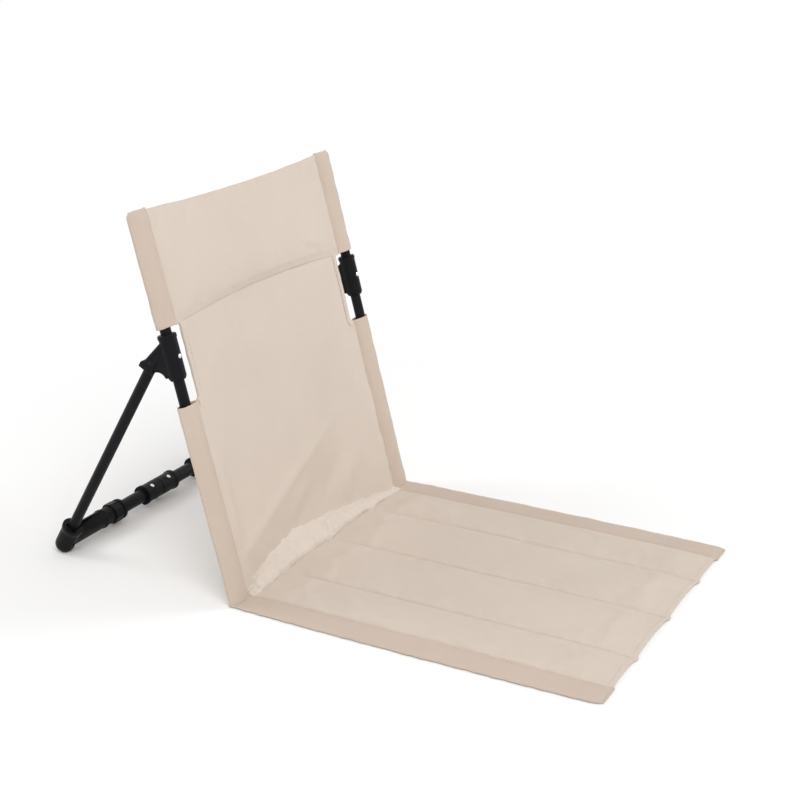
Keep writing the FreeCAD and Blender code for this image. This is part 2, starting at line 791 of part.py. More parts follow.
def back_panel(label):
    """The sling between the lower sleeves, cut out beside the hubs."""
    body = new_body(label, on_back(Size.of(0), Size.of(0)))
    right = -seam_x
    left = seam_x - mm.seam_play
    notch = seam_x - mm.notch_depth
    corner = mm.lower_sleeve_high + mm.notch_round
    top = mm.head_seam - mm.seam_play / 4
    outline = new_sketch(body, "XZ_Plane")
    draw_outline(
        outline,
        (right, mm.panel_low),
        (left, mm.panel_low),
        (left, mm.lower_sleeve_high),
        (notch + mm.notch_round, mm.lower_sleeve_high, mm.notch_round, "right"),
        (notch, corner),
        (notch, top - mm.notch_round, mm.notch_round, "right"),
        (notch + mm.notch_round, top),
        (-notch - mm.notch_round, top),
        (-notch, top - mm.notch_round),
        (-notch, corner, mm.notch_round, "right"),
        (-notch - mm.notch_round, mm.lower_sleeve_high),
        (right, mm.lower_sleeve_high),
    )
    pad(body, outline, mm.cloth, symmetric=True)
    return body


def headrest_section(body, border, skin):
    """Side view of the headrest: two shallow curves that meet at its seams."""
    edge = mm.cloth / 2 - skin / 2
    low = mm.head_seam + border
    high = mm.back_length - border
    half_height = (high - low) / 2
    bulge = mm.head_swell - skin - edge
    sweep = dome_radius(half_height, bulge)
    section = new_sketch(body, "YZ_Plane")
    draw_outline(
        section,
        (edge, low, sweep, "left"),
        (edge, high),
        (-edge, high, sweep, "left"),
        (-edge, low),
    )
    return section


def headrest(cover_label, pad_label):
    """A double layer of cloth with foam sewn in."""
    place = on_back(-mm.seam_play / 2, Size.of(0))
    width = seam_x * 2 - mm.seam_play
    foam_width = width - 2 * mm.head_border
    cover = new_body(cover_label, place)
    pad(cover, headrest_section(cover, Size.of(0), Size.of(0)), width, symmetric=True)
    pocket(
        cover,
        headrest_section(cover, mm.head_border, mm.head_cover),
        foam_width,
        symmetric=True,
    )
    foam = new_body(pad_label, place)
    pad(foam, headrest_section(foam, mm.head_border, mm.head_cover), foam_width, symmetric=True)
    return cover, foam


# Seat

seat_front = mm.back_foot_y - mm.seat_length
seat_rear = mm.back_foot_y - mm.seat_rear_gap
band_seam = mm.chair_width / 2 - mm.band_width
SEAMS = (-band_seam, -mm.quilt_step, Size.of(0), mm.quilt_step, band_seam)
CROWNS = (mm.side_crown, mm.crown, mm.crown, mm.side_crown)


def draw_seat_outline(sketch):
    """The seat between its side bands: the front edge dips in between the quilting seams."""
    front = [(x, seat_front, mm.scallop_radius, "right") for x in SEAMS[:-1]]
    corners = [*front, (SEAMS[-1], seat_front), (SEAMS[-1], seat_rear), (SEAMS[0], seat_rear)]
    draw_outline(sketch, *corners)


def seat_base(label):
    body = new_body(label, Placement())
    outline = new_sketch(body, "XY_Plane")
    draw_seat_outline(outline)
    pad(body, outline, mm.seat_base)
    return body


def seat_stations(inset):
    """Where the channels' sections stand, and how much of the crown each has."""
    rear = seat_rear.value - inset
    front = seat_front.value + inset
    draw_in = mm.quilt_end.value
    front_end = [(front + draw_in * way, share) for way, share in FRONT_DRAW_IN]
    rear_end = [(rear - draw_in * way, share) for way, share in REAR_DRAW_IN]
    return front_end + rear_end


def crown_arc(x_from, x_to, z, rise, y):
    return Part.Arc(
        Vector(x_from, y, z),
        Vector((x_from + x_to) / 2, y, z + rise),
        Vector(x_to, y, z),
    ).toShape()


def seat_pad(label, channel):
    """A foam strip: flat below, crowned above, drawn in at both ends."""
    low = mm.seat_base.value
    left = SEAMS[channel].value + mm.quilt_border.value
    right = SEAMS[channel + 1].value - mm.quilt_border.value
    sections = []
    for y, share in seat_stations(mm.quilt_inset.value):
        arc = crown_arc(left, right, low, CROWNS[channel].value * share, y)
        chord = Part.makeLine(Vector(right, y, low), Vector(left, y, low))
        sections.append(Part.Wire([arc, chord]))
    piece = doc.addObject("Part::Feature", label)
    piece.Shape = Part.makeLoft(sections, True, True)
    return piece


def seat_cover(label, pads):
    """The upper cloth: arched over each foam strip, and sewn down along the quilting seams."""
    low = mm.seat_base.value
    skin = low + mm.seat_cover.value
    sections = []
    for y, share in seat_stations(0):
        edges = []
        for channel, crown in enumerate(CROWNS):
            left, right = SEAMS[channel].value, SEAMS[channel + 1].value
            edges.append(crown_arc(left, right, skin, crown.value * share, y))
        corners = [(right, skin), (right, low), (SEAMS[0].value, low), (SEAMS[0].value, skin)]
        for (x_from, z_from), (x_to, z_to) in zip(corners, corners[1:]):
            edges.append(Part.makeLine(Vector(x_from, y, z_from), Vector(x_to, y, z_to)))
        sections.append(Part.Wire(edges))
    arched = doc.addObject("Part::Feature", f"{label}_arched")
    arched.Shape = Part.makeLoft(sections, True, True)
    outline = new_body(f"{label}_outline", Placement())
    sketch = new_sketch(outline, "XY_Plane")
    draw_seat_outline(sketch)
    pad(outline, sketch, mm.crease_height)
    trimmed = doc.addObject("Part::Common", f"{label}_trimmed")
    trimmed.Base = arched
    trimmed.Tool = outline
    foam = doc.addObject("Part::MultiFuse", f"{label}_foam")
    foam.Shapes = pads
    piece = doc.addObject("Part::Cut", label)
    piece.Base = trimmed
    piece.Tool = foam
    return piece


def seat_band(label):
    """A flat sewn band along the seat's side, folded at its outer edge."""
    body = new_body(label, Placement())
    section = new_sketch(body, "XZ_Plane", -seat_rear)
    skin = mm.seat_base + mm.seat_cover
    outer = -mm.chair_width / 2
    draw_outline(
        section,
        (-band_seam, 0),
        (-band_seam, skin, mm.band_swell, "left"),
        (outer + mm.band_fold, mm.band_edge, mm.band_edge, "left"),
        (outer + mm.band_fold, 0),
    )
    pad(body, section, seat_rear - seat_front)
    return body


def crease_welt(label):
    """A corded welt on the fold line of the back, with a flange sewn to the seat's rear edge."""
    length = 2 * (seam_x - mm.seam_play)
    body = new_body(label, Placement())
    cord = new_sketch(body, "YZ_Plane")
    draw_circle(cord, crease_y, mm.crease_height, mm.welt_radius)
    pad(body, cord, length, symmetric=True)
    flange = new_sketch(body, "YZ_Plane")
    draw_outline(
        flange,
        (seat_rear, 0),
        (seat_rear + mm.welt_flange, 0),
        (seat_rear + mm.welt_flange, mm.crease_height),
        (seat_rear, mm.crease_height),
    )
    pad(body, flange, length, symmetric=True)
    return body


# The pieces

back_tube = tube(
    "right_back_tube",
    mm.tube_radius,
    mm.tube_high - mm.tube_low,
    on_back(-mm.tube_spread, mm.tube_low),
    rivet_at=mm.hub_middle - mm.tube_low,
)
over = Placement(Vector(), Rotation(X_AXIS, 180))
forward = Placement(Vector(), Rotation(X_AXIS, 90))
hub_width = mm.fork_gap + 2 * mm.cheek_wall
head_width = mm.fork_gap - 2 * mm.eye_play
foot_width = mm.foot_gap - 2 * mm.eye_play
leg_top = Placement(Vector(0, 0, -(leg_length - mm.foot_neck).value), Rotation())
rivet_shank = mm.hub_radius - tube_bore
hub_front = Placement(Vector(0, -mm.hub_radius.value, 0), forward.Rotation)
rivet_up = Rotation(Z_AXIS, -90)
bar_start = Placement(Vector(mm.arm_solid.value, 0, 0), across.Rotation * rivet_up)
bar_length = mm.foot_spread - mm.arm_solid - mm.knuckle_wall
bar_bore = mm.bar_radius - mm.tube_wall
knuckle_top = Vector(-mm.bar_rivet_at.value, 0, mm.knuckle_radius.value)
bar_rivet_place = centre_place * Placement(knuckle_top, Rotation())
centre_pin_place = Placement(Vector(0, 0, -mm.centre_drop.value), square.Rotation)
bar_tube = tube(
    "right_bar_tube",
    mm.bar_radius,
    bar_length,
    foot_place * bar_start,
    rivet_at=mm.foot_spread - mm.arm_solid - mm.bar_rivet_at,
)
tube_top = on_back(-mm.tube_spread, mm.tube_high)
tube_foot = on_back(-mm.tube_spread, mm.tube_low) * over
sleeve_low = mm.head_seam - mm.seam_play / 4

right_pieces = [
    back_tube,
    cap("right_tube_top_cap", tube_top),
    cap("right_tube_bottom_cap", tube_foot),
    hub("right_hub"),
    rivet("right_hub_rivet", rivet_shank, hub_place * hub_front),
    pin("right_hub_pin", mm.pin_radius, hub_width - 2 * mm.pin_sink, pivot_place * across),
    leg_eye("right_leg_head", head_width, mm.leg_neck, across, True, pivot_place),
    tube(
        "right_leg_tube",
        mm.tube_radius,
        leg_length - mm.foot_neck - mm.leg_neck,
        pivot_place * along_leg * leg_top,
    ),
    leg_eye("right_leg_eye", foot_width, mm.foot_neck, square, False, foot_place),
    foot_elbow("right_foot_elbow"),
    pin("right_foot_pin", mm.pin_radius, mm.foot_pin_length, foot_place * square),
    bar_tube,
    rivet("right_bar_rivet", mm.knuckle_radius - bar_bore, bar_rivet_place),
    seat_band("right_seat_band"),
    sleeve("right_upper_sleeve", sleeve_low, mm.back_length, True),
    sleeve("right_lower_sleeve", mm.lower_sleeve_low, mm.lower_sleeve_high, False),
]
left_pieces = [mirror(p, p.Label.replace("right_", "left_")) for p in right_pieces]
pads = [seat_pad(f"seat_pad_{channel + 1}", channel) for channel in range(len(CROWNS))]
pieces = [
    *right_pieces,
    *left_pieces,
    knuckle("right_bar_knuckle", -1),
    knuckle("left_bar_knuckle", 1),
    pin("centre_pin", mm.centre_pin_radius, mm.ear_span, centre_place * centre_pin_place),
    back_panel("back_panel"),
    *headrest("headrest_cover", "headrest_pad"),
    seat_base("seat_base"),
    *pads,
    seat_cover("seat_cover", pads),
    crease_welt("crease_welt"),
]
doc.recompute()

for item in doc.Objects:
    if "Invalid" in item.State or "Error" in item.State:
        raise RuntimeError(f"{item.Label} failed: {item.State}")
for piece in pieces:
    if piece.Shape.isNull() or not piece.Shape.isValid():
        raise RuntimeError(f"{piece.Label} has no valid shape")

os.makedirs("parts", exist_ok=True)
for piece in pieces:
    piece.Shape.exportStep(f"parts/{piece.Label}.step")

whole = Part.makeCompound([piece.Shape for piece in pieces]).BoundBox
print(f"{len(pieces)} pieces")
print(f"box from x {whole.XMin:.2f} y {whole.YMin:.2f} z {whole.ZMin:.2f}")
print(f"box to x {whole.XMax:.2f} y {whole.YMax:.2f} z {whole.ZMax:.2f}")
print(f"crease y {crease_y.value:.3f} z {mm.crease_height.value:.3f}")
print(f"hub pin y {pivot_y.value:.3f} z {pivot_z.value:.3f}")
print(f"foot pin y {foot_y.value:.3f} z {mm.bar_height.value:.3f}, lean {lean.value:.3f}")
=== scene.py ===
import json
import math

import bpy
import numpy as np
from mathutils import Matrix, Vector, noise
from mathutils.bvhtree import BVHTree


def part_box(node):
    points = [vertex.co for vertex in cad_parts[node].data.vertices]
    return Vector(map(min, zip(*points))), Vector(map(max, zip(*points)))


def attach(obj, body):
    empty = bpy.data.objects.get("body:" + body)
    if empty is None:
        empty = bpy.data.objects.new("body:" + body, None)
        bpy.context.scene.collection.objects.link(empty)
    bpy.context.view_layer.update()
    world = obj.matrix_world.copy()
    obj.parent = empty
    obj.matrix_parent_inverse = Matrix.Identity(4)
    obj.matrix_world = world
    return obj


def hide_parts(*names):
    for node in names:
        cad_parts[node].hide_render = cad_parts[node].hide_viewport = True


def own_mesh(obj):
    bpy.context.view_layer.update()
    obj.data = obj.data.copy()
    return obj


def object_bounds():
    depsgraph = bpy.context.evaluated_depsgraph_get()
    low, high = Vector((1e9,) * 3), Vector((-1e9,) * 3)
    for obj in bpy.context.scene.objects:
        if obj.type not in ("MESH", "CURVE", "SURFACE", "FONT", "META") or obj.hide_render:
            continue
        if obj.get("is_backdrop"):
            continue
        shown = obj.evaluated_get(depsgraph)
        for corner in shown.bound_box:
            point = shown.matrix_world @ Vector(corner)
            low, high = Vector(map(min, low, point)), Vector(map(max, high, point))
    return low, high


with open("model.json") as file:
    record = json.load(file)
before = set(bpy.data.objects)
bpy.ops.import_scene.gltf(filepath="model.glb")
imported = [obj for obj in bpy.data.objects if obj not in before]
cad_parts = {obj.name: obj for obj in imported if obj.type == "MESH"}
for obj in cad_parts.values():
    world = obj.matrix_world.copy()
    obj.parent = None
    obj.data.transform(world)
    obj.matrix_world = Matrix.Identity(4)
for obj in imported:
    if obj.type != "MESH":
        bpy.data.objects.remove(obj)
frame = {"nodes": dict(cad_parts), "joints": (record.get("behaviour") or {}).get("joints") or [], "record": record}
cad_low, cad_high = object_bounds()
scene = bpy.context.scene
scene.view_settings.view_transform = "Standard"

# Sizes of the chair, in metres and radians
RECLINE = math.radians(15.5)
BACK_FOOT_Y = 0.0816
UP_BACK = np.array((0.0, math.sin(RECLINE), math.cos(RECLINE)))
FRONT = np.array((0.0, -math.cos(RECLINE), math.sin(RECLINE)))
TUBE_X = 0.187
SEAM_X = 0.168
SLEEVE_OUTSIDE = 0.013
SLEEVE_INSIDE = 0.019
LOWER_SLEEVE = (0.001, 0.222)
UPPER_SLEEVE = (0.3055, 0.429)
HEAD_SEAM = 0.306
BACK_TOP = 0.429
NOTCH_X = 0.162
NOTCH_ROUND = 0.005
SEAM_LAP = 0.003
QUILT_SEAMS = (-SEAM_X, -0.1, 0.0, 0.1, SEAM_X)
seat_low, seat_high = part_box("seat_base")
SEAT_FRONT = seat_low.y
SEAT_REAR = seat_high.y
CHAIR_EDGE = cad_high.x
CLOTH = 0.0008
SIDES = (("right", -1), ("left", 1))


def on_back(x, along, out):
    """Points of the back: across, up the back, and out of its front."""
    x, along, out = np.broadcast_arrays(x, along, out)
    points = along[..., None] * UP_BACK + out[..., None] * FRONT
    points[..., 0] += x
    points[..., 1] += BACK_FOOT_Y
    return points


def smooth(t):
    """A soft step: 0 up to 0, 1 from 1 on."""
    t = np.clip(t, 0.0, 1.0)
    return t * t * (3 - 2 * t)


def ripple(a, b, size, seed):
    """Soft uneven waves from -1 to 1 over two arrays of places in metres."""
    a, b = np.broadcast_arrays(a, b)
    flat = [noise.noise(Vector((p / size, q / size, seed))) for p, q in zip(a.ravel(), b.ravel())]
    return np.array(flat).reshape(a.shape)


def wave(a, size, seed):
    """Soft uneven waves along one line of places."""
    return ripple(a, 0.0, size, seed)


def pucker(x, slide=0.0):
    """Uneven gathers across the crease, from about -1 to 1: narrow ones on wider ones."""
    return 0.6 * wave(x + slide, size=0.007, seed=11.0) + 0.8 * wave(x + slide, size=0.019, seed=4.0)


def fold_ridge(x, along, start, end, width, height):
    """A soft fold from start to end, which fades at both ends."""
    start, end = np.array(start), np.array(end)
    run = end - start
    length = np.linalg.norm(run)
    way = run / length
    far = (x - start[0]) * way[0] + (along - start[1]) * way[1]
    aside = (along - start[1]) * way[0] - (x - start[0]) * way[1]
    fade = np.sin(np.pi * np.clip(far / length, 0, 1))
    return height * fade * np.exp(-(aside / width) ** 2)


# Meshes


def new_piece(name, points, faces, uvs=None):
    """A smooth-shaded piece, with the flat pattern of its cloth where it has one."""
    mesh = bpy.data.meshes.new(name)
    mesh.from_pydata([tuple(p) for p in points], [], faces)
    if uvs is not None:
        layer = mesh.uv_layers.new(name="flat")
        for loop in mesh.loops:
            layer.data[loop.index].uv = uvs[loop.vertex_index]
    mesh.validate()
    mesh.shade_smooth()
    piece = bpy.data.objects.new(name, mesh)
    scene.collection.objects.link(piece)
    return piece


def grid_faces(rows, columns, start=0, wrap=False, flip=False):
    """Faces of a grid of points stored row by row; wrap joins the last column to the first."""
    faces = []
    for i in range(rows - 1):
        for j in range(columns if wrap else columns - 1):
            k = (j + 1) % columns
            a, b = start + i * columns + j, start + i * columns + k
            c, d = b + columns, a + columns
            faces.append((a, d, c, b) if flip else (a, b, c, d))
    return faces


def end_faces(rows, columns, start=0, flip=False):
    """The two faces that close a wrapped grid at its ends."""
    first = tuple(range(start, start + columns))
    last = tuple(i + (rows - 1) * columns for i in first)
    return [first, last[::-1]] if flip else [first[::-1], last]


def settle(piece):
    """Applies a piece's modifiers, so that its mesh is final."""
    graph = bpy.context.evaluated_depsgraph_get()
    final = bpy.data.meshes.new_from_object(piece.evaluated_get(graph))
    old = piece.data
    piece.modifiers.clear()
    piece.data = final
    final.name = old.name
    bpy.data.meshes.remove(old)
    final.shade_smooth()
    return piece


def finer(piece):
    smoothed = piece.modifiers.new("finer", "SUBSURF")
    smoothed.levels = smoothed.render_levels = 1
    return settle(piece)


def thicken(piece, thickness, offset):
    """Gives a cloth its thickness, with rounded edges: offset 0 is both ways, -1 only inward."""
    solid = piece.modifiers.new("thickness", "SOLIDIFY")
    solid.thickness = thickness
    solid.offset = offset
    return finer(piece)


def cloth_sheet(name, points, uvs, thickness):
    """A cloth of some thickness from a grid of points."""
    rows, columns = points.shape[:2]
    piece = new_piece(name, points.reshape(-1, 3), grid_faces(rows, columns), uvs.reshape(-1, 2))
    return thicken(piece, thickness, offset=0)


def double_cloth(name, top, bottom, uvs):
    """A closed pad of two grids that share their border."""
    rows, columns = top.shape[:2]
    count = rows * columns
    inner = np.zeros((rows, columns), bool)
    inner[1:-1, 1:-1] = True
    index = np.arange(count).reshape(rows, columns)
    below = index.copy()
    below[inner] = count + np.arange(inner.sum())
    points = np.concatenate([top.reshape(-1, 3), bottom[inner]])
    flat = np.concatenate([uvs.reshape(-1, 2), uvs[inner]])
    faces = grid_faces(rows, columns)
    for i in range(rows - 1):
        for j in range(columns - 1):
            faces.append((below[i, j], below[i + 1, j], below[i + 1, j + 1], below[i, j + 1]))
    return new_piece(name, points, faces, flat)


BLOW_FRAMES = 20


def inflate(piece, pinned, pressure, slack, most):
    """Blows the pad up as cloth: pinned points stay, and no point moves further than most."""
    rest = np.array([v.co for v in piece.data.vertices])
    group = piece.vertex_groups.new(name="sewn")
    group.add([int(i) for i in np.flatnonzero(pinned)], 1.0, "REPLACE")
    cloth = piece.modifiers.new("cloth", "CLOTH")
    settings = cloth.settings
    settings.quality = 6
    settings.mass = 0.2
    settings.tension_stiffness = 20
    settings.compression_stiffness = 20
    settings.shear_stiffness = 8
    settings.bending_stiffness = 0.8
    settings.vertex_group_mass = "sewn"
    settings.use_pressure = True
    settings.uniform_pressure_force = pressure
    settings.shrink_min = -slack
    settings.effector_weights.gravity = 0
    cloth.collision_settings.use_collision = False
    cloth.point_cache.frame_start = 1
    cloth.point_cache.frame_end = BLOW_FRAMES
    for step in range(1, BLOW_FRAMES + 1):
        scene.frame_set(step)
    graph = bpy.context.evaluated_depsgraph_get()
    moved = np.array([v.co for v in piece.evaluated_get(graph).data.vertices])
    scene.frame_set(1)
    piece.modifiers.remove(cloth)
    piece.vertex_groups.clear()
    shift = moved - rest
    length = np.linalg.norm(shift, axis=1, keepdims=True)
    shift *= np.minimum(1.0, most / np.maximum(length, 1e-9))
    piece.data.vertices.foreach_set("co", (rest + shift).ravel())
    piece.data.update()


# How far off a surface a path starts before it drops, and how far it may drop
PATH_LIFT = 0.05
PATH_DROP = 0.1
DOWN = (0, 0, -1)


def over_seat(x, y):
    """Points above the seat, to be dropped on it."""
    return np.stack(np.broadcast_arrays(x, y, PATH_LIFT), axis=-1)


def before_back(x, along):
    """Points in front of the back, to be dropped on it."""
    return on_back(x, along, PATH_LIFT)


search_trees = {}


def lay_on(piece, path, toward):
    """Where a path meets the surface of a piece when it drops that way, and the surface's direction."""
    if piece.name not in search_trees:
        mesh = piece.data
        search_trees[piece.name] = BVHTree.FromPolygons(
            [v.co for v in mesh.vertices], [p.vertices for p in mesh.polygons]
        )
    places, normals = [], []
    for point in path:
        place, normal, _, _ = search_trees[piece.name].ray_cast(Vector(point), Vector(toward), PATH_DROP)
        if place is not None:
            places.append(place)
            normals.append(normal if normal.dot(Vector(toward)) < 0 else -normal)
    return np.array(places), np.array(normals)


# Shader groups


def shader_group(name, inputs, outputs):
    """An empty shader group with named inputs and outputs, all plain values."""
    tree = bpy.data.node_groups.new(name, "ShaderNodeTree")
    for label, value in inputs:
        socket = tree.interface.new_socket(label, in_out="INPUT", socket_type="NodeSocketFloat")
        socket.default_value = value
    for label in outputs:
        tree.interface.new_socket(label, in_out="OUTPUT", socket_type="NodeSocketFloat")
    ends = tree.nodes.new("NodeGroupInput"), tree.nodes.new("NodeGroupOutput")
    return tree, ends[0].outputs, ends[1].inputs


def math_node(tree, operation, first, second=None):
    """A sum of one or two numbers or outputs of other nodes."""
    node = tree.nodes.new("ShaderNodeMath")
    node.operation = operation
    for socket, value in zip(node.inputs, (first, second)):
        if isinstance(value, bpy.types.NodeSocket):
            tree.links.new(value, socket)
        elif value is not None:
            socket.default_value = value
    return node.outputs[0]


def noise_node(tree, vector, scale, detail):
    node = tree.nodes.new("ShaderNodeTexNoise")
    tree.links.new(vector, node.inputs["Vector"])
    tree.links.new(scale, node.inputs["Scale"])
    node.inputs["Detail"].default_value = detail
    return node.outputs[0]


def weave_group():
    """Plain weave over the flat pattern: the height of the threads, and the shade between them."""
    gap_shade = 0.12
    tree, given, out = shader_group("plain weave", [("Threads per metre", 1500)], ["Height", "Shade"])
    flat = tree.nodes.new("ShaderNodeUVMap")
    split = tree.nodes.new("ShaderNodeSeparateXYZ")
    tree.links.new(flat.outputs[0], split.inputs[0])
    turns = math_node(tree, "MULTIPLY", given["Threads per metre"], math.pi)
    warp = math_node(tree, "SINE", math_node(tree, "MULTIPLY", split.outputs[0], turns))
    weft = math_node(tree, "SINE", math_node(tree, "MULTIPLY", split.outputs[1], turns))
    over = math_node(tree, "GREATER_THAN", math_node(tree, "MULTIPLY", warp, weft), 0.0)
    under = math_node(tree, "SUBTRACT", 1.0, over)
    warp_height = math_node(tree, "MULTIPLY", math_node(tree, "ABSOLUTE", warp), over)
    weft_height = math_node(tree, "MULTIPLY", math_node(tree, "ABSOLUTE", weft), under)
    height = math_node(tree, "ADD", warp_height, weft_height)
    tree.links.new(height, out["Height"])
    gaps = math_node(tree, "MULTIPLY", math_node(tree, "SUBTRACT", 1.0, height), gap_shade)
    tree.links.new(math_node(tree, "SUBTRACT", 1.0, gaps), out["Shade"])
    return tree


def slub_group():
    """Uneven yarn: long thin streaks both ways over the flat pattern."""
    tree, given, out = shader_group("uneven yarn", [("Streaks per metre", 900)], ["Streaks"])
    flat = tree.nodes.new("ShaderNodeUVMap")
    both = []
    for stretch in ((1.0, 0.05, 1.0), (0.05, 1.0, 1.0)):
        scaled = tree.nodes.new("ShaderNodeVectorMath")
        scaled.operation = "MULTIPLY"
        scaled.inputs[1].default_value = stretch
        tree.links.new(flat.outputs[0], scaled.inputs[0])
        both.append(noise_node(tree, scaled.outputs[0], given["Streaks per metre"], 2.0))
    tree.links.new(math_node(tree, "MULTIPLY", math_node(tree, "ADD", *both), 0.5), out["Streaks"])
    return tree


def patches_group():
    """Slow patches all over a piece, from 0 to 1."""
    tree, given, out = shader_group("slow patches", [("Patches per metre", 9)], ["Patches"])
    place = tree.nodes.new("ShaderNodeTexCoord")
    cloud = noise_node(tree, place.outputs["Object"], given["Patches per metre"], 4.0)
    spread = tree.nodes.new("ShaderNodeMapRange")
    spread.inputs["From Min"].default_value = 0.3
    spread.inputs["From Max"].default_value = 0.7
    tree.links.new(cloud, spread.inputs["Value"])
    tree.links.new(spread.outputs[0], out["Patches"])
    return tree


def grain_group():
    """Fine pimpled skin of a moulding or a powder coat, as a height."""
    tree, given, out = shader_group("fine grain", [("Grains per metre", 2500)], ["Height"])
    place = tree.nodes.new("ShaderNodeTexCoord")
    fine = noise_node(tree, place.outputs["Object"], given["Grains per metre"], 2.0)
    tree.links.new(fine, out["Height"])
    return tree


GROUPS = {
    "weave": weave_group(),
    "slub": slub_group(),
    "patches": patches_group(),
    "grain": grain_group(),
}


# Materials


def new_material(name):
    material = bpy.data.materials.new(name)
    material.use_nodes = True
    return material, material.node_tree, material.node_tree.nodes["Principled BSDF"]


def place_group(tree, name, **values):
    """Places a shader group in a material, with its own values."""
    node = tree.nodes.new("ShaderNodeGroup")
    node.node_tree = GROUPS[name]
    for label, value in values.items():
        node.inputs[label.replace("_", " ").capitalize()].default_value = value
    return node.outputs


def mix_colour(tree, first, second, share, blend="MIX"):
    """Mixes two colours; each, and the share of the second, is a value or another node's output."""
    node = tree.nodes.new("ShaderNodeMix")
    node.data_type = "RGBA"
    node.blend_type = blend
    for socket, value in ((node.inputs[6], first), (node.inputs[7], second), (node.inputs[0], share)):
        if isinstance(value, bpy.types.NodeSocket):
            tree.links.new(value, socket)
        elif isinstance(value, tuple):
            socket.default_value = (*value, 1.0)
        else:
            socket.default_value = value
    return node.outputs[2]


def map_value(tree, value, low, high):
    """Spreads a value from 0 to 1 over low to high."""
    node = tree.nodes.new("ShaderNodeMapRange")
    node.inputs["To Min"].default_value = low
    node.inputs["To Max"].default_value = high
    tree.links.new(value, node.inputs["Value"])
    return node.outputs[0]


def bump(tree, surface, height, distance, strength):
    node = tree.nodes.new("ShaderNodeBump")
    node.inputs["Distance"].default_value = distance
    node.inputs["Strength"].default_value = strength
    tree.links.new(height, node.inputs["Height"])
    tree.links.new(node.outputs[0], surface.inputs["Normal"])


def cloth_material(name, light, dark):
    """Matt woven cloth, a little uneven in colour."""
    material, tree, surface = new_material(name)
    weave = place_group(tree, "weave", threads_per_metre=1500.0)
    yarn = place_group(tree, "slub", streaks_per_metre=900.0)
    patches = place_group(tree, "patches", patches_per_metre=9.0)
    colour = mix_colour(tree, light, dark, map_value(tree, patches["Patches"], 0.1, 0.75))
    streaks = map_value(tree, yarn["Streaks"], 0.93, 1.07)
    shade = math_node(tree, "MULTIPLY", streaks, weave["Shade"])
    tree.links.new(mix_colour(tree, colour, shade, 1.0, "MULTIPLY"), surface.inputs["Base Color"])
    tree.links.new(map_value(tree, patches["Patches"], 0.78, 0.9), surface.inputs["Roughness"])
    surface.inputs["Sheen Weight"].default_value = 0.12
    surface.inputs["Sheen Roughness"].default_value = 0.5
    surface.inputs["Specular IOR Level"].default_value = 0.25
    height = math_node(tree, "ADD", weave["Height"], yarn["Streaks"])
    bump(tree, surface, height, distance=0.00012, strength=0.6)
    return material


def thread_material(name, light, dark):
    """Sewing thread, a little uneven in colour and gloss."""
    material, tree, surface = new_material(name)
    patches = place_group(tree, "patches", patches_per_metre=60.0)
    tree.links.new(mix_colour(tree, light, dark, patches["Patches"]), surface.inputs["Base Color"])
    tree.links.new(map_value(tree, patches["Patches"], 0.6, 0.8), surface.inputs["Roughness"])
    surface.inputs["Sheen Weight"].default_value = 0.15
    return material


def black_material(name, light, dark, rough, grains, grain_height):
    """Black paint or moulding: fine grain, and patches rubbed a little smoother and paler."""
    material, tree, surface = new_material(name)
    grain = place_group(tree, "grain", grains_per_metre=grains)
    patches = place_group(tree, "patches", patches_per_metre=35.0)
    tree.links.new(mix_colour(tree, dark, light, patches["Patches"]), surface.inputs["Base Color"])
    tree.links.new(map_value(tree, patches["Patches"], *rough), surface.inputs["Roughness"])
    surface.inputs["Specular IOR Level"].default_value = 0.12
    bump(tree, surface, grain["Height"], distance=grain_height, strength=0.5)
    return material


def metal_material(name, light, dark, rough):
    """Bare or blackened metal with small dull patches."""
    material, tree, surface = new_material(name)
    grain = place_group(tree, "grain", grains_per_metre=4000.0)
    patches = place_group(tree, "patches", patches_per_metre=400.0)
    tree.links.new(mix_colour(tree, light, dark, patches["Patches"]), surface.inputs["Base Color"])
    tree.links.new(map_value(tree, patches["Patches"], *rough), surface.inputs["Roughness"])
    surface.inputs["Metallic"].default_value = 1.0
    bump(tree, surface, grain["Height"], distance=0.00004, strength=0.4)
    return material


PANEL_CLOTH = cloth_material("panel cloth", (0.702, 0.608, 0.525), (0.657, 0.563, 0.480))
# The crease cloth is the panel cloth painted lighter: a painted highlight where the crease faces the light.
CREASE_CLOTH_PAINTED_LIGHTER = cloth_material("crease cloth painted lighter", (0.772, 0.682, 0.600), (0.708, 0.619, 0.538))
# The edge cloth is the panel cloth painted darker: painted shade on the sleeves and the seat hems.
EDGE_CLOTH_PAINTED_SHADE = cloth_material("edge cloth painted darker as shade", (0.64, 0.527, 0.440), (0.587, 0.480, 0.397))
THREAD = thread_material("sewing thread", (0.66, 0.55, 0.46), (0.55, 0.45, 0.37))
TUBE_PAINT = black_material(
    "tube paint",
    (0.008, 0.008, 0.010),
    (0.004, 0.004, 0.005),
    rough=(0.34, 0.46),
    grains=1800.0,
    grain_height=0.00003,
)
MOULDING = black_material(
    "black moulding",
    (0.007, 0.007, 0.009),
    (0.004, 0.004, 0.005),
    rough=(0.38, 0.52),
    grains=2600.0,
    grain_height=0.00006,
)
RIVET = metal_material("bright rivet", (0.86, 0.86, 0.85), (0.72, 0.72, 0.71), rough=(0.22, 0.34))
PIN = metal_material("blackened pin", (0.035, 0.035, 0.037), (0.02, 0.02, 0.022), rough=(0.34, 0.45))


def dress(piece, material):
    piece.data.materials.clear()
    piece.data.materials.append(material)


def finish_frame():
    """Gives the carried-over pieces of the frame their finish."""
    finishes = {
        "tube_paint": TUBE_PAINT,
        "moulding": MOULDING,
        "rivet_metal": RIVET,
        "pin_steel": PIN,
    }
    for part in frame["record"]["subparts"]:
        finish = finishes.get(part["material_slot"])
        if finish is not None:
            node = frame["nodes"][part["node"]]
            for place in node.material_slots:
                place.material = finish


finish_frame()


# Lips of the hub branches

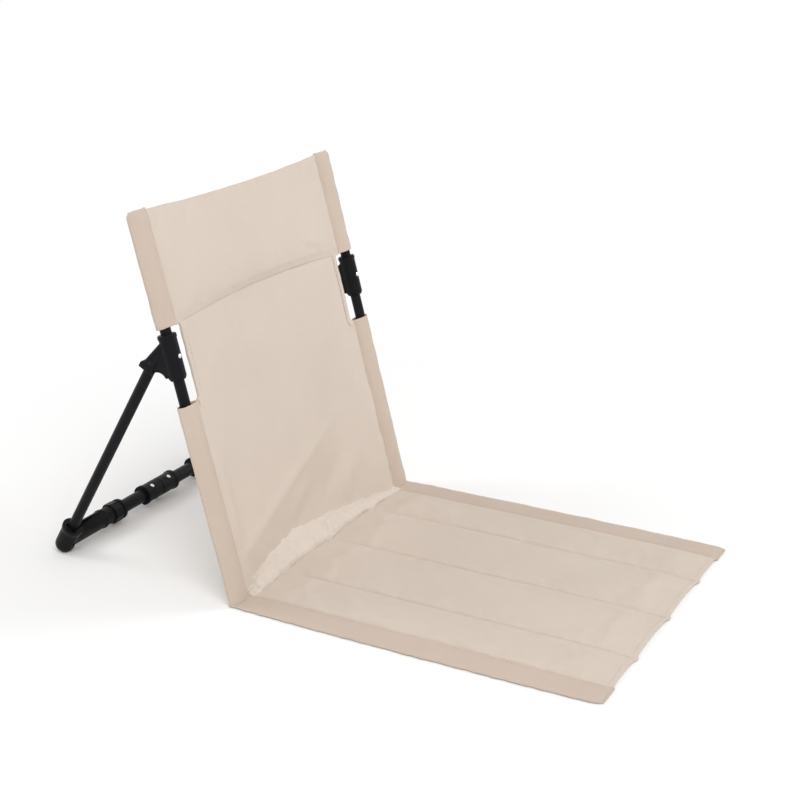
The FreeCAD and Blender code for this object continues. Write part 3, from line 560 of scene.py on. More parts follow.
LEG_ANGLE = math.radians(46.4)
DOWN_BRANCH = -math.sin(LEG_ANGLE) * FRONT - math.cos(LEG_ANGLE) * UP_BACK
OVER_BRANCH = -math.cos(LEG_ANGLE) * FRONT + math.sin(LEG_ANGLE) * UP_BACK
FORK_HALF = 0.0071
CHEEK_OUTSIDE = 0.0092
SLOT_TOP = 0.0070
LIP_TOP = 0.0098
LIP_LOW = -0.0082
LIP_ENDS = (0.0045, 0.0110)
LIP_ROUND = 0.0009


def branch_lip(name, joint, body):
    """A rounded rim round the open end of a hub's branch, with the leg's slot left free."""
    pin = np.array(next(j["pos_m"] for j in frame["joints"] if j["name"] == joint))
    wide, slot = CHEEK_OUTSIDE, FORK_HALF
    outline = [(-wide, LIP_LOW), (-wide, LIP_TOP), (wide, LIP_TOP), (wide, LIP_LOW)]
    outline += [(slot, LIP_LOW), (slot, SLOT_TOP), (-slot, SLOT_TOP), (-slot, LIP_LOW)]
    points = []
    for past in LIP_ENDS:
        for x, aside in outline:
            points.append(pin + past * DOWN_BRANCH + aside * OVER_BRANCH + np.array((x, 0.0, 0.0)))
    count = len(outline)
    faces = grid_faces(2, count, wrap=True) + end_faces(2, count)
    lip = new_piece(name, points, faces)
    rounding = lip.modifiers.new("rounding", "BEVEL")
    rounding.width = LIP_ROUND
    rounding.segments = 3
    settle(lip)
    dress(lip, MOULDING)
    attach(lip, body)


branch_lip("right_hub_lip", "stand_fold", "right_frame")
branch_lip("left_hub_lip", "left_stand_fold", "left_frame")


# How soft pieces ride on the frame


def gather_back(piece):
    """Cloth of the back: rides on the right tube."""
    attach(piece, "right_frame")
    anchor = tuple(on_back(-SEAM_X, 0.2, 0.0))
    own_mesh(piece)


def gather_seat(piece):
    """Cloth of the seat: lies on the ground, and rides with the seat."""
    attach(piece, "seat")
    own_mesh(piece)


def gather_crease(piece):
    """Cloth of the crease: lies on the ground, and rides with the seat."""
    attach(piece, "seat")
    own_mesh(piece)


# Seat


def between(low, high, step):
    """Evenly spaced places from low to high, about a step apart."""
    return np.linspace(low, high, max(2, round(abs(high - low) / step) + 1))


# Front edge of the seat: radius of its arcs, and the small tips at the quilting seams
FRONT_RADIUS = 0.900
TIP_LENGTH = 0.0022
TIP_WIDTH = 0.0040
# Rear edge of the seat: how far it runs into the crease, and where it is clear of the sleeves
REAR_TUCK = 0.0035
SLEEVE_CLEAR = 0.135
SLEEVE_FADE = 0.03
# Height of the four foam channels, of their seams, and the run over which they flatten to their ends
CHANNEL_RISE = (0.0082, 0.010, 0.010, 0.0082)
SEAM_HEIGHT = 0.0020
UNDERSIDE = 0.0002
END_RUN = 0.045
# Gathers along the quilting seams and at the rear, and slow waves of the channels
SEAM_GATHER = 0.0011
REAR_GATHER = 0.0012
CHANNEL_WAVE = 0.0007


def seat_front_dip(x):
    """How far the front edge draws back between the quilting seams."""
    dip = np.zeros_like(x)
    for left, right in zip(QUILT_SEAMS, QUILT_SEAMS[1:]):
        inside = (x >= left) & (x <= right)
        half = (right - left) / 2
        across = x[inside] - (left + right) / 2
        dip[inside] = np.sqrt(FRONT_RADIUS ** 2 - across ** 2) - math.sqrt(FRONT_RADIUS ** 2 - half ** 2)
    for seam in QUILT_SEAMS[1:-1]:
        dip -= TIP_LENGTH * np.exp(-((x - seam) / TIP_WIDTH) ** 2)
    return dip


def quilt_rear(x):
    """Rear edge of the quilt: into the crease, but clear of the sleeves at its ends."""
    return SEAT_REAR + REAR_TUCK * smooth((SLEEVE_CLEAR - np.abs(x)) / SLEEVE_FADE)


def seat_quilt():
    """The quilted seat: foam channels between sewn seams, blown up as cloth over a flat underside."""
    step = 0.0045
    close = np.array([0.0, 0.0011, 0.0026])
    spans = []
    for left, right in zip(QUILT_SEAMS, QUILT_SEAMS[1:]):
        spans += [left + close, between(left + 0.005, right - 0.005, step), (right - close[1:])[::-1]]
    columns = np.append(np.concatenate(spans), QUILT_SEAMS[-1])
    share = between(0.0, 1.0, step / (SEAT_REAR - SEAT_FRONT))
    x, v = np.meshgrid(columns, share)
    front = SEAT_FRONT + seat_front_dip(x)
    rear = quilt_rear(x)
    y = rear + (front - rear) * v
    crown = np.zeros_like(x)
    seam_near = np.zeros_like(x)
    for left, right, rise in zip(QUILT_SEAMS, QUILT_SEAMS[1:], CHANNEL_RISE):
        inside = (x >= left) & (x <= right)
        across = (2 * x[inside] - left - right) / (right - left)
        crown[inside] = rise * np.clip(1 - np.abs(across) ** 2.2, 0, 1) ** 0.8
        seam_near[inside] = across ** 2 * (1 - across ** 4)
    run_front = (y - front) / END_RUN
    run_rear = (rear - y) / END_RUN
    ends = (0.25 + 0.75 * smooth(run_front)) * (0.4 + 0.6 * smooth(run_rear))
    gathers = SEAM_GATHER * seam_near * ripple(y, x * 0.25, size=0.011, seed=6.0)
    rear_gathers = REAR_GATHER * smooth(1 - run_rear) * (seam_near + 0.3)
    rear_gathers *= (1 + pucker(x, 0.2 * (rear - y))) * (crown > 0)
    waves = CHANNEL_WAVE * ripple(x, y, size=0.06, seed=13.0) * crown / max(CHANNEL_RISE)
    height = SEAM_HEIGHT + crown * ends + gathers + rear_gathers + waves
    top = np.stack([x, y, height], axis=-1)
    bottom = np.stack([x, y, np.full_like(x, UNDERSIDE)], axis=-1)
    uvs = np.stack([x, y], axis=-1)
    quilt = double_cloth("seat_quilt", top, bottom, uvs)
    rows, count = x.shape
    sewn = np.isin(columns, QUILT_SEAMS)
    pinned = np.ones(len(quilt.data.vertices), bool)
    free = np.zeros_like(x, bool)
    free[1:-1] = ~sewn
    pinned[: rows * count] = ~free.ravel()
    inflate(quilt, pinned, pressure=2.0, slack=0.004, most=0.003)
    return finer(quilt)


# Seat hems: middle above the ground, height above and below it, and how far they tuck under the sleeves
HEM_MIDDLE = 0.0016
HEM_ABOVE = 0.0023
HEM_BELOW = 0.0014
HEM_TUCK = 0.012
# Their outer edge: bow over the whole length, slow and quick waves, and the rounded front corner
HEM_BOW = 0.0022
HEM_SWAY = 0.0016
HEM_FLUTTER = 0.0010
HEM_CORNER = 0.004
HEM_CORNER_RUN = 0.01
HEM_GATHER = 0.0010
# How far apart the two faces of a folded cloth lie on its flat pattern
FACES_APART = 0.1


def seat_band(name, side, node):
    """A doubled hem along the seat's side, gathered at its seam; its rear end tucks under the sleeve."""
    rear = SEAT_REAR + HEM_TUCK
    along = between(rear, SEAT_FRONT, 0.004)
    turn = np.linspace(0, 2 * math.pi, 37)[:-1]
    inner = SEAM_X - SEAM_LAP
    half_width = (CHAIR_EDGE - inner) / 2
    middle = inner + half_width
    y, a = np.meshgrid(along, turn, indexing="ij")
    bow = HEM_BOW * np.sin(np.pi * (rear - y) / (rear - SEAT_FRONT))
    sway = HEM_SWAY * wave(y, size=0.03, seed=3.0 + side) * (0.5 if side < 0 else 1.0)
    sway = sway + HEM_FLUTTER * wave(y, size=0.010, seed=5.0 + side)
    corner = HEM_CORNER * smooth(1 - (y - SEAT_FRONT) / HEM_CORNER_RUN)
    outward = np.clip(np.cos(a), 0, 1)
    flatness = np.sign(np.cos(a)) * np.abs(np.cos(a)) ** 0.62
    across = middle + half_width * flatness + outward * (bow + sway - corner)
    to_seam = (1 - flatness) / 2
    gathers = HEM_GATHER * to_seam ** 2 * ripple(y, across * 0.3, size=0.010, seed=17.0 + side)
    swell = HEM_ABOVE + 0.0007 * ripple(y, across * 2, size=0.04, seed=7.0 + side) + gathers
    fullness = np.abs(np.sin(a)) ** 0.6
    z = np.where(np.sin(a) > 0, HEM_MIDDLE + swell * fullness, HEM_MIDDLE - HEM_BELOW * fullness)
    points = np.stack([side * across, y, z], axis=-1)
    uvs = np.stack([across + FACES_APART * (np.sin(a) < 0), y], axis=-1)
    rows, columns = y.shape
    flip = side > 0
    faces = grid_faces(rows, columns, wrap=True, flip=flip) + end_faces(rows, columns, flip=flip)
    band = new_piece(name, points.reshape(-1, 3), faces, uvs.reshape(-1, 2))
    # Painted shade: the hem is dressed in a darker copy of the panel cloth.
    dress(band, EDGE_CLOTH_PAINTED_SHADE)
    gather_seat(band)
    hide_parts(node)
    return band


# How far up the back the gathered cloth of the crease reaches, across the chair
CREASE_TOP_X = (-0.172, -0.150, -0.105, -0.049, 0.010, 0.082, 0.140, 0.172)
CREASE_TOP = (0.005, 0.012, 0.024, 0.032, 0.026, 0.018, 0.010, 0.004)
# Its upper edge: small waves, and points that run up the back
EDGE_WAVES = 0.0026
EDGE_POINTS = 0.016
# Its gathers: loft in the middle, fine crests and wide pulls
PLEAT_LOFT = 0.0012
PLEAT_CRESTS = 0.0024
PLEAT_PULLS = 0.0034
# Where the seams bunch it up: at the inner channels' seams, and near the right end
BUNCH_SEAM = QUILT_SEAMS[3]
BUNCH_END = -0.158
PLEAT_UNDERSIDE = 0.0006


def crease_pleat():
    """The gathered cloth that fills the crease between back and seat, widest right of the middle."""
    reach = SEAM_X + SEAM_LAP
    across = between(-reach, reach, 0.0009)
    share = np.linspace(0, 1, 23)
    x, t = np.meshgrid(across, share, indexing="ij")
    middle = x[:, :1]
    inside = smooth((reach - np.abs(middle)) / 0.030)
    points_up = np.clip(wave(middle, size=0.013, seed=8.0), 0, 1) ** 2
    edge = (EDGE_WAVES * pucker(middle) + EDGE_POINTS * points_up) * (0.3 + 0.7 * inside)
    top_along = np.interp(middle, CREASE_TOP_X, CREASE_TOP) + edge
    start = on_back(middle, top_along, panel_surface(middle, top_along) + 0.0003)
    bunches = np.exp(-((np.abs(middle) - BUNCH_SEAM) / 0.009) ** 2)
    bunches = bunches + np.exp(-((middle - BUNCH_END) / 0.010) ** 2)
    end_y = quilt_rear(middle) - 0.0015 + 0.0012 * pucker(middle, 0.05) - 0.0018 * bunches
    over = np.clip(middle, 0.0015 - SEAM_X, SEAM_X - 0.0015)
    behind = np.minimum(end_y, quilt_rear(middle) - 0.0008)
    on_quilt, _ = lay_on(quilt, over_seat(over, behind)[:, 0], DOWN)
    end_z = np.interp(over, on_quilt[:, 0], on_quilt[:, 2]) - 0.0007
    end = np.stack([middle, end_y, end_z], axis=-1)
    base = start + (end - start) * t[..., None]
    run = end - start
    normal = np.stack([np.zeros_like(end_y), run[..., 2], -run[..., 1]], axis=-1)
    normal /= np.linalg.norm(normal, axis=-1, keepdims=True)
    normal *= np.sign(normal[..., 2:])
    slant = 0.006 * (t - 0.5)
    crests = 0.5 - np.abs(ripple(x + slant, t * 0.003, size=0.0042, seed=5.5))
    pulls = 0.5 - np.abs(ripple(x - 2 * slant, t * 0.006, size=0.0125, seed=3.0))
    uneven = 1.15 - 0.95 * inside * smooth(0.55 + 1.6 * ripple(x, t * 0.01, size=0.031, seed=2.0))
    held = smooth(t / 0.4) * smooth((1 - t) / 0.2)
    height = held * (PLEAT_LOFT * inside + PLEAT_CRESTS * crests * uneven + PLEAT_PULLS * pulls)
    outer = base + height[..., None] * normal
    low = np.full_like(end_y, PLEAT_UNDERSIDE)
    foot = np.stack([middle, np.full_like(end_y, BACK_FOOT_Y + 0.002), low], axis=-1)
    toe = np.stack([middle, end_y, low], axis=-1)
    points = np.concatenate([outer, toe, foot], axis=1)
    rows, columns = points.shape[:2]
    around = np.concatenate([share * 0.04, [0.045, 0.055]])
    uvs = np.stack(np.meshgrid(across, around, indexing="ij"), axis=-1)
    faces = grid_faces(rows, columns, wrap=True) + end_faces(rows, columns)
    pleat = new_piece("crease_pleat", points.reshape(-1, 3), faces, uvs.reshape(-1, 2))
    # Painted highlight: the crease is dressed in a lighter copy of the panel cloth.
    dress(pleat, CREASE_CLOTH_PAINTED_LIGHTER)
    gather_crease(pleat)
    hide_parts("crease_welt")


quilt = seat_quilt()
dress(quilt, PANEL_CLOTH)
gather_seat(quilt)
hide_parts("seat_base", "seat_cover", *[f"seat_pad_{i}" for i in range(1, 5)])
bands = [seat_band(f"{word}_seat_hem", side, f"{word}_seat_band") for word, side in SIDES]


# Back


def panel_half_width(along):
    """Half the width of the back panel: into the sleeves' seams, and drawn in beside the hubs."""
    low, high = LOWER_SLEEVE[1], HEAD_SEAM
    rise = np.clip(np.minimum(along - low, high - along) / NOTCH_ROUND, 0, 1)
    corner = NOTCH_X + NOTCH_ROUND * (1 - np.sqrt(1 - (1 - rise) ** 2))
    return np.where((along > low) & (along < high), corner, SEAM_X + SEAM_LAP)


# Folds of the back: from and to (across, up the back), half width, height
PANEL_FOLDS = (
    ((-0.164, 0.180), (-0.156, 0.035), 0.011, 0.0045),
    ((-0.140, 0.150), (-0.135, 0.040), 0.014, -0.0030),
    ((0.150, 0.180), (0.160, 0.030), 0.010, 0.0030),
    ((0.120, 0.085), (0.060, 0.030), 0.014, 0.0030),
    ((0.080, 0.080), (0.020, 0.035), 0.010, -0.0022),
    ((0.010, 0.075), (-0.060, 0.040), 0.008, 0.0016),
)
# The long fold that crosses the lower back, and how far the cloth falls back under it
LONG_FOLD = ((0.075, 0.124), (-0.173, 0.037))
LONG_FOLD_DROP = 0.0075
LONG_FOLD_RUN = 0.050
LONG_FOLD_CREST = 0.0020
# Belly of the back, puckers at the crease and beside the sleeves' seams, and slow waves all over
BELLY = 0.004
CREASE_PUCKER = 0.0018
CREASE_RUN = 0.065
SEAM_PUCKER = 0.0011
BACK_WAVE = 0.0008
SLING_THICKNESS = 0.0018


def panel_surface(x, along):
    """How far the back panel stands out of its plane: a slight belly, and folds that run to the crease."""
    out = -BELLY * (1 - (x / SEAM_X) ** 2) * np.sin(np.pi * np.clip(along / HEAD_SEAM, 0, 1))
    for start, end, width, height in PANEL_FOLDS:
        out = out + fold_ridge(x, along, start, end, width, height)
    (x_top, top), (x_low, low) = LONG_FOLD
    tilt = (top - low) / (x_top - x_low)
    below = (low + tilt * (x - x_low) - along) / math.hypot(1, tilt)
    fade = smooth((0.125 - x) / 0.11) * smooth((x + SEAM_X) / 0.03)
    out = out - LONG_FOLD_DROP * fade * smooth(below / LONG_FOLD_RUN)
    out = out + LONG_FOLD_CREST * fade * np.exp(-(below / 0.007) ** 2)
    near_crease = smooth(1 - along / CREASE_RUN)
    out = out + near_crease * CREASE_PUCKER * pucker(x, 0.4 * along)
    beside_seam = np.exp(-np.clip(SEAM_X - np.abs(x), 0, None) / 0.010)
    out = out + SEAM_PUCKER * beside_seam * ripple(along, 0.25 * x, size=0.009, seed=14.0)
    return out + BACK_WAVE * ripple(x, along, size=0.05, seed=9.0)


# The sling's lower edge turns under the crease: places behind and above the ground, and the cloth it takes
UNDER_CREASE = (0.0785, 0.0016)
UNDER_QUILT = (0.0700, 0.0012)
TURN_LENGTH = 0.018


def turned_edge(lowest):
    """Rows of the sling from under the quilt, below the crease, up to its lowest row."""
    turn = lowest.copy()
    turn[:, 1:] = UNDER_CREASE
    tail = lowest.copy()
    tail[:, 1:] = UNDER_QUILT
    rows = np.concatenate([
        tail + (turn - tail) * np.linspace(0, 1, 4)[:-1, None, None],
        turn + (lowest - turn) * np.linspace(0, 1, 5)[:-1, None, None],
    ])
    rows[..., 0] *= np.linspace(0.95, 0.995, len(rows))[:, None]
    return rows


def notch_rows(step):
    """Places up the back along the cut-out beside a hub, closer together at its rounded corners."""
    low, high = LOWER_SLEEVE[1] + 0.0001, HEAD_SEAM - 0.0001
    curve = NOTCH_ROUND * (1 - np.cos(np.linspace(0, math.pi / 2, 8)))[:-1]
    straight = between(LOWER_SLEEVE[1] + NOTCH_ROUND, HEAD_SEAM - NOTCH_ROUND, step)
    return np.concatenate([low + curve, straight, (high - curve)[::-1]])


def back_panel():
    """The sling of the back: between the sleeves, from under the quilt up behind the headrest."""
    low, high = LOWER_SLEEVE[1], HEAD_SEAM
    along = np.concatenate([
        between(0.006, low, 0.004),
        notch_rows(0.005),
        between(high, high + 0.012, 0.0025),
    ])
    share = np.linspace(-1, 1, 97)
    s, v = np.meshgrid(along, share, indexing="ij")
    x = v * panel_half_width(s)
    points = on_back(x, s, panel_surface(x, s))
    turned = turned_edge(points[0])
    reach = along[0] - TURN_LENGTH * np.linspace(1, 0, len(turned) + 1)[:-1]
    turned_flat = np.stack([turned[..., 0], np.broadcast_to(reach[:, None], turned.shape[:2])], axis=-1)
    flat = np.concatenate([turned_flat, np.stack([x, s], axis=-1)])
    panel = cloth_sheet("back_sling", np.concatenate([turned, points]), flat, SLING_THICKNESS)
    dress(panel, PANEL_CLOTH)
    gather_back(panel)
    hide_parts("back_panel")


# Hems beside the hubs: width on each face, distance off the panel, thickness, and width before folding
HUB_HEM_WIDTH = 0.0075
HUB_HEM_LIFT = 0.0014
HUB_HEM_THICKNESS = 0.0007


def hub_hem(name, side):
    """The folded hem round the cut-out beside a hub, over both faces of the panel."""
    along = notch_rows(0.003)
    edge = panel_half_width(along)
    step = np.gradient(edge), np.gradient(along)
    length = np.hypot(*step)
    inward = -step[1] / length, step[0] / length
    width = HUB_HEM_WIDTH + 0.0006 * wave(along, size=0.02, seed=31.0 + side)
    flap = np.array([1.0, 0.8, 0.5, 0.2, 0.02])
    section = np.concatenate([flap, [-0.06], flap[::-1]])
    lift = HUB_HEM_LIFT * np.sign(np.arange(len(section))[::-1] - len(flap))
    x = edge[:, None] + inward[0][:, None] * width[:, None] * section
    s = along[:, None] + inward[1][:, None] * width[:, None] * section
    rub = 0.0003 * ripple(s, x, size=0.006, seed=33.0 + side)
    points = on_back(side * x, s, panel_surface(side * x, s) + lift + rub * np.sign(lift))
    run = np.cumsum(length)[:, None] + 0 * x
    fold = np.cumsum(np.concatenate([[0], np.abs(np.diff(section))]))[None] * width[:, None]
    hem = cloth_sheet(name, points, np.stack([fold, run], axis=-1), HUB_HEM_THICKNESS)
    dress(hem, PANEL_CLOTH)
    gather_back(hem)
    return hem


# Headrest: rise of its lower seam and dip of its top, and its faces off the panel at the edge and in full
HEAD_SEAM_RISE = 0.0085
HEAD_TOP_DIP = 0.0045
HEAD_FRONT_EDGE = 0.0010
HEAD_FRONT_FILL = 0.0018
HEAD_REAR_EDGE = 0.0012
HEAD_REAR_FILL = 0.0038
# The roll along its lower edge: height, and where its crest lies from bottom to top
HEAD_ROLL = 0.0062
HEAD_ROLL_CREST = 0.085


def head_seam(x):
    """How far up the back the headrest's lower seam runs: highest in the middle, a little uneven."""
    bow = 1 - (x / (SEAM_X + SEAM_LAP)) ** 2
    return HEAD_SEAM - 0.003 + HEAD_SEAM_RISE * bow + 0.0010 * wave(x, size=0.05, seed=1.0)


def headrest():
    """The padded double layer across the top, blown up as cloth between its sewn edges."""
    step = 0.0045
    edge = SEAM_X + SEAM_LAP
    columns = between(-edge, edge, step)
    share = np.append(np.linspace(0, 0.1, 7), np.linspace(0.1, 1, 26)[1:])
    x, v = np.meshgrid(columns, share)
    bow = 1 - (x / edge) ** 2
    low = head_seam(x)
    high = BACK_TOP - HEAD_TOP_DIP * bow + 0.0006 * wave(x, size=0.03, seed=2.0)
    along = low + (high - low) * v
    lens = np.sin(np.pi * v) ** 0.8 * np.clip(1 - np.abs(x / edge) ** 6, 0, 1) ** 0.5
    past_crest = v - HEAD_ROLL_CREST
    roll = np.where(past_crest < 0, v / HEAD_ROLL_CREST, np.exp(-(past_crest / 0.5) ** 2))
    front = HEAD_FRONT_EDGE + HEAD_FRONT_FILL * lens + HEAD_ROLL * roll * bow ** 0.5
    front = front + 0.0006 * lens * ripple(x, along, size=0.035, seed=21.0)
    rear = -HEAD_REAR_EDGE - HEAD_REAR_FILL * lens
    pad = double_cloth(
        "headrest",
        on_back(x, along, front),
        on_back(x, along, rear),
        np.stack([x, along], axis=-1),
    )
    rows, count = x.shape
    border = np.ones_like(x, bool)
    border[1:-1, 1:-1] = False
    pinned = np.zeros(len(pad.data.vertices), bool)
    pinned[: rows * count] = border.ravel()
    inflate(pad, pinned, pressure=1.0, slack=0.003, most=0.0012)
    finer(pad)
    dress(pad, PANEL_CLOTH)
    gather_back(pad)
    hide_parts("headrest_cover", "headrest_pad")
    return pad


# Sleeves: half thickness at the edges, swell over the tube, and height of the wrinkles
SLEEVE_EDGE = 0.0013
SLEEVE_SWELL = 0.0068
SLEEVE_WRINKLE = 0.0009
# Their open mouths, and the closed top with its outer corner drawn in
MOUTH_RUN = 0.006
MOUTH_WAVE = 0.0012
CLOSED_RUN = 0.0045
CLOSED_SHARE = 0.95
CORNER_RUN = 0.006
CORNER_DRAW = 0.003


def sleeve(name, side, ends, body, node, closed_top):
    """A loose sleeve round a back tube: swollen over the tube, flat at its seam and its outer edge."""
    low, high = ends
    end_rows = high - np.array([0.0045, 0.003, 0.0015, 0.0])
    along = np.append(between(low, high - 0.006, 0.004), end_rows)
    turn = np.linspace(0, 2 * math.pi, 41)[:-1]
    s, a = np.meshgrid(along, turn, indexing="ij")
    half_width = (SLEEVE_OUTSIDE + SLEEVE_INSIDE) / 2
    centre = (SLEEVE_INSIDE - SLEEVE_OUTSIDE) / 2
    flatness = np.sign(np.cos(a)) * np.abs(np.cos(a)) ** 0.8
    inward = centre + half_width * flatness
    swell = SLEEVE_EDGE + SLEEVE_SWELL * (1 - flatness ** 2)
    wrinkle = ripple(s * 0.8 + 0.4 * inward, inward * 0.6 + side, size=0.014, seed=8.0 + low) * SLEEVE_WRINKLE
    outer_edge = np.clip(-flatness, 0, 1)
    inner_edge = np.clip(flatness, 0, 1) ** 2
    inward = inward + 0.0006 * wave(s, size=0.03, seed=40.0 + side + low) * outer_edge
    inward = inward + 0.0008 * wave(s, size=0.011, seed=50.0 + side + low) * inner_edge
    pinch = np.ones_like(s)
    if closed_top:
        pinch = 1 - CLOSED_SHARE * smooth((s - high + CLOSED_RUN) / CLOSED_RUN)
        inward = inward + CORNER_DRAW * smooth((s - high + CORNER_RUN) / CORNER_RUN) * outer_edge ** 4
    mouth = np.exp(-np.minimum(np.abs(s - low), np.abs(high - s)) / MOUTH_RUN)
    lean = MOUTH_WAVE * mouth * wave(a, size=0.9, seed=low + 20 + side)
    out = np.sign(np.sin(a)) * swell * pinch + wrinkle * (1 - mouth)
    x = side * (TUBE_X - inward)
    points = on_back(x, s + lean, out)
    uvs = np.stack([inward + FACES_APART * (np.sin(a) < 0), s], axis=-1)
    rows, columns = s.shape
    faces = grid_faces(rows, columns, wrap=True, flip=side < 0)
    piece = new_piece(name, points.reshape(-1, 3), faces, uvs.reshape(-1, 2))
    thicken(piece, CLOTH, offset=-1)
    # Painted shade: the sleeve is dressed in a darker copy of the panel cloth.
    dress(piece, EDGE_CLOTH_PAINTED_SHADE)
    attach(piece, body)
    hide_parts(node)
    return piece


back_panel()
hems = [hub_hem(f"{word}_hub_hem", side) for word, side in SIDES]
head = headrest()
crease_pleat()
pockets = {}
for word, side in SIDES:
    body = f"{word}_frame"
    pockets[word] = [
        sleeve(f"{word}_lower_pocket", side, LOWER_SLEEVE, body, f"{word}_lower_sleeve", False),
        sleeve(f"{word}_upper_pocket", side, UPPER_SLEEVE, body, f"{word}_upper_sleeve", True),
    ]


# Stitching

STITCH = 0.0031
STITCH_PITCH = 0.0042
FIRST_STITCH = 0.001
ROW_STEP = 0.004
ROW_BESIDE_SEAM = 0.0030
ROW_BEHIND_FRONT = 0.007
TACKS = np.arange(0.005, 0.013, 0.0012)
TACK_HALF = 0.003
THREAD_WIDTH = (0.00012, 0.00032, 0.00038, 0.00032, 0.00012)
THREAD_LIFT = (-0.00020, 0.00012, 0.00022, 0.00012, -0.00020)


def stitch_row(places, normals):
    """Points of one row of stitches, each a short thread that dips into the cloth at both ends."""
    reach = np.append(0, np.cumsum(np.linalg.norm(np.diff(places, axis=0), axis=1)))
    starts = np.arange(FIRST_STITCH, reach[-1] - STITCH, STITCH_PITCH)
    far = starts[:, None] + STITCH * np.linspace(0, 1, len(THREAD_WIDTH))
    middle = np.stack([np.interp(far, reach, places[:, i]) for i in range(3)], axis=-1)
    up = np.stack([np.interp(far, reach, normals[:, i]) for i in range(3)], axis=-1)
    up /= np.linalg.norm(up, axis=-1, keepdims=True)
    run = middle[:, -1:] - middle[:, :1]
    aside = np.cross(run, up)
    aside /= np.linalg.norm(aside, axis=-1, keepdims=True)
    middle = middle + np.array(THREAD_LIFT)[:, None] * up
    turn = np.linspace(0, 2 * math.pi, 7)[:-1]
    ring = np.cos(turn)[:, None] * up[:, :, None] + np.sin(turn)[:, None] * aside[:, :, None]
    return middle[:, :, None] + np.array(THREAD_WIDTH)[:, None, None] * ring


def stitching(name, rows):
    """One piece of all the rows of stitches that move together."""
    points = np.concatenate([stitch_row(*row) for row in rows])
    count, stations, sides = points.shape[:3]
    faces = []
    for i in range(count):
        start = i * stations * sides
        faces += grid_faces(stations, sides, start=start, wrap=True) + end_faces(stations, sides, start)
    threads = new_piece(name, points.reshape(-1, 3), faces)
    dress(threads, THREAD)
    return threads


def seat_rows():
    """Rows along the quilting seams, the hems and the front edge, and a tack at the front of each seam."""
    y = between(SEAT_REAR - 0.010, SEAT_FRONT + 0.006, ROW_STEP)
    rows = [lay_on(quilt, over_seat(seam, y), DOWN) for seam in QUILT_SEAMS[1:-1]]
    for band, (_, side) in zip(bands, SIDES):
        rows.append(lay_on(band, over_seat(side * (SEAM_X + ROW_BESIDE_SEAM), y), DOWN))
    for left, right in zip(QUILT_SEAMS, QUILT_SEAMS[1:]):
        x = between(left + 0.004, right - 0.004, ROW_STEP)
        front_row = SEAT_FRONT + seat_front_dip(x) + ROW_BEHIND_FRONT
        rows.append(lay_on(quilt, over_seat(x, front_row), DOWN))
    for seam in QUILT_SEAMS[1:-1]:
        for tack in TACKS:
            x = between(seam - TACK_HALF, seam + TACK_HALF, 0.001)
            rows.append(lay_on(quilt, over_seat(x, SEAT_FRONT + tack), DOWN))
    return rows


def back_rows():
    """A row along the headrest's lower seam, and one along each hem beside a hub."""
    x = between(0.006 - SEAM_X, SEAM_X - 0.006, ROW_STEP)
    rows = [lay_on(head, before_back(x, head_seam(x) + 0.002), -FRONT)]
    along = between(LOWER_SLEEVE[1] + 0.004, HEAD_SEAM - 0.012, ROW_STEP)
    for hem, (_, side) in zip(hems, SIDES):
        rows.append(lay_on(hem, before_back(side * (NOTCH_X - 0.006), along), -FRONT))
    return rows


gather_seat(stitching("seat_stitching", seat_rows()))
gather_back(stitching("back_stitching", back_rows()))
for word, side in SIDES:
    rows = []
    for pocket, (low, high) in zip(pockets[word], (LOWER_SLEEVE, UPPER_SLEEVE)):
        along = between(low + 0.006, high - 0.004, ROW_STEP)
        rows.append(lay_on(pocket, before_back(side * (SEAM_X + ROW_BESIDE_SEAM), along), -FRONT))
    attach(stitching(f"{word}_stitching", rows), f"{word}_frame")


# Light, floor and camera

WHITE = (1.0, 1.0, 1.0, 1.0)
FLOOR_REACH = 30.0
WORLD_LIGHT = 0.60
# Distances from the middle of the floor between which it turns plain white
SHADOW_FADE = (0.35, 0.95)
# The photograph's focal length and width, in pixels
FOCAL_PIXELS = 1592.7
PICTURE_PIXELS = 800


def seen_white(tree, lit, share=None):
    """Shows plain white to the camera, and in mirror-like surfaces, in place of a lit surface."""
    rays = tree.nodes.new("ShaderNodeLightPath")
    direct = math_node(tree, "MAXIMUM", rays.outputs["Is Camera Ray"], rays.outputs["Is Glossy Ray"])
    seen = math_node(tree, "MAXIMUM", direct, rays.outputs["Is Transmission Ray"])
    if share is not None:
        seen = math_node(tree, "MULTIPLY", seen, share)
    white = tree.nodes.new("ShaderNodeEmission" if share is not None else "ShaderNodeBackground")
    mix = tree.nodes.new("ShaderNodeMixShader")
    tree.links.new(seen, mix.inputs[0])
    tree.links.new(lit, mix.inputs[1])
    tree.links.new(white.outputs[0], mix.inputs[2])
    white.inputs["Strength"].default_value = 1.0
    white.inputs["Color"].default_value = WHITE
    return mix.outputs[0]


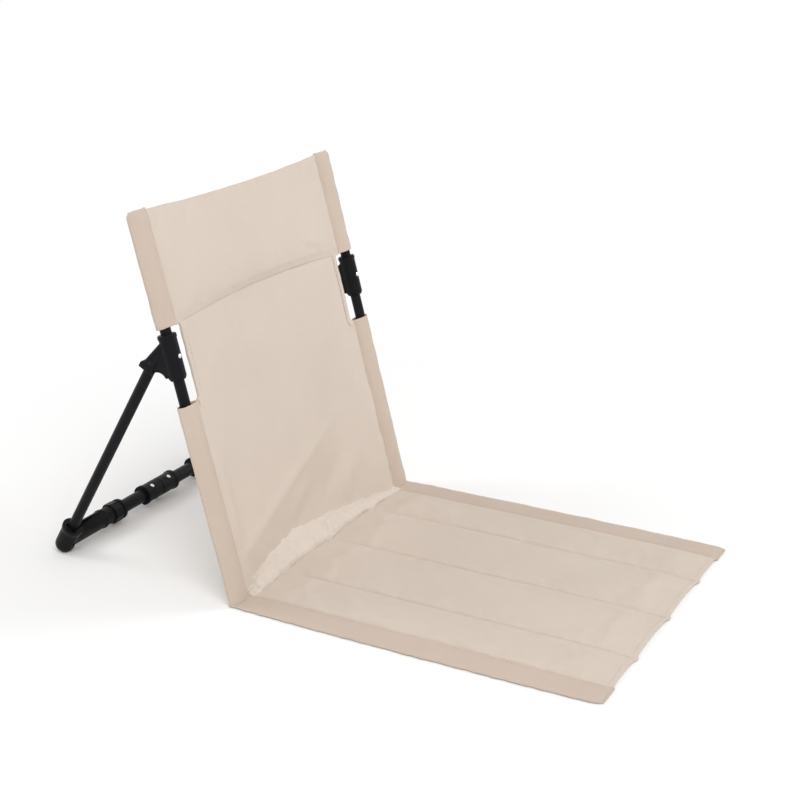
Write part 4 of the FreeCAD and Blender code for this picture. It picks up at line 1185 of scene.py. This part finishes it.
def stage_floor():
    """A pale floor that takes the chair's shadow, and is plain white further off."""
    reach = FLOOR_REACH
    corners = [(-reach, -reach, 0), (reach, -reach, 0), (reach, reach, 0), (-reach, reach, 0)]
    floor = new_piece("floor", corners, [(0, 1, 2, 3)])
    material, tree, surface = new_material("pale floor")
    patches = place_group(tree, "patches", patches_per_metre=3.0)
    colour = mix_colour(tree, (0.96, 0.96, 0.955), (0.95, 0.95, 0.945), patches["Patches"])
    tree.links.new(colour, surface.inputs["Base Color"])
    surface.inputs["Roughness"].default_value = 0.9
    place = tree.nodes.new("ShaderNodeTexCoord")
    far = tree.nodes.new("ShaderNodeVectorMath")
    far.operation = "LENGTH"
    tree.links.new(place.outputs["Object"], far.inputs[0])
    fade = tree.nodes.new("ShaderNodeMapRange")
    fade.interpolation_type = "SMOOTHSTEP"
    fade.inputs["From Min"].default_value = SHADOW_FADE[0]
    fade.inputs["From Max"].default_value = SHADOW_FADE[1]
    tree.links.new(far.outputs["Value"], fade.inputs["Value"])
    shown = seen_white(tree, surface.outputs[0], fade.outputs[0])
    tree.links.new(shown, tree.nodes["Material Output"].inputs["Surface"])
    dress(floor, material)
    floor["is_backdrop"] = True


def studio_world():
    """Soft even light all round; the camera and mirror-like surfaces see plain white."""
    world = bpy.data.worlds.new("studio")
    world.use_nodes = True
    scene.world = world
    tree = world.node_tree
    light = tree.nodes["Background"]
    light.inputs["Color"].default_value = WHITE
    light.inputs["Strength"].default_value = WORLD_LIGHT
    shown = seen_white(tree, light.outputs[0])
    tree.links.new(shown, tree.nodes["World Output"].inputs["Surface"])


def soft_box(name, place, aim, width, power):
    """A round soft lamp, aimed at a point; its width in metres, its power in watts."""
    lamp = bpy.data.lights.new(name, "AREA")
    lamp.shape = "DISK"
    lamp.size = width
    lamp.energy = power
    holder = bpy.data.objects.new(name, lamp)
    holder.location = place
    holder.rotation_euler = (Vector(aim) - Vector(place)).to_track_quat("-Z", "Y").to_euler()
    scene.collection.objects.link(holder)


def photo_camera():
    """The photograph's viewpoint: direction in degrees, place in metres."""
    azimuth, elevation, roll = (math.radians(v) for v in (-62.51, 19.56, 0.72))
    place = Vector((-1.4645, -0.7751, 0.7757))
    focal_widths = FOCAL_PIXELS / PICTURE_PIXELS
    back = Vector((
        math.sin(azimuth) * math.cos(elevation),
        -math.cos(azimuth) * math.cos(elevation),
        math.sin(elevation),
    ))
    data = bpy.data.cameras.new("photo view")
    data.sensor_width = 36.0
    data.lens = data.sensor_width * focal_widths
    camera = bpy.data.objects.new("photo view", data)
    turn = (-back).to_track_quat("-Z", "Y").to_matrix().to_4x4()
    camera.matrix_world = Matrix.Translation(place) @ turn @ Matrix.Rotation(roll, 4, "Z")
    scene.collection.objects.link(camera)
    scene.camera = camera


stage_floor()
studio_world()
soft_box("key light", (-2.4, -2.1, 3.5), (0, 0, 0.15), width=2.7, power=88)
soft_box("fill light", (1.9, -1.7, 1.8), (0, 0, 0.15), width=1.6, power=20)
soft_box("back light", (-0.6, 2.2, 1.9), (0, 0.1, 0.2), width=1.2, power=14)
photo_camera()

low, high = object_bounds()
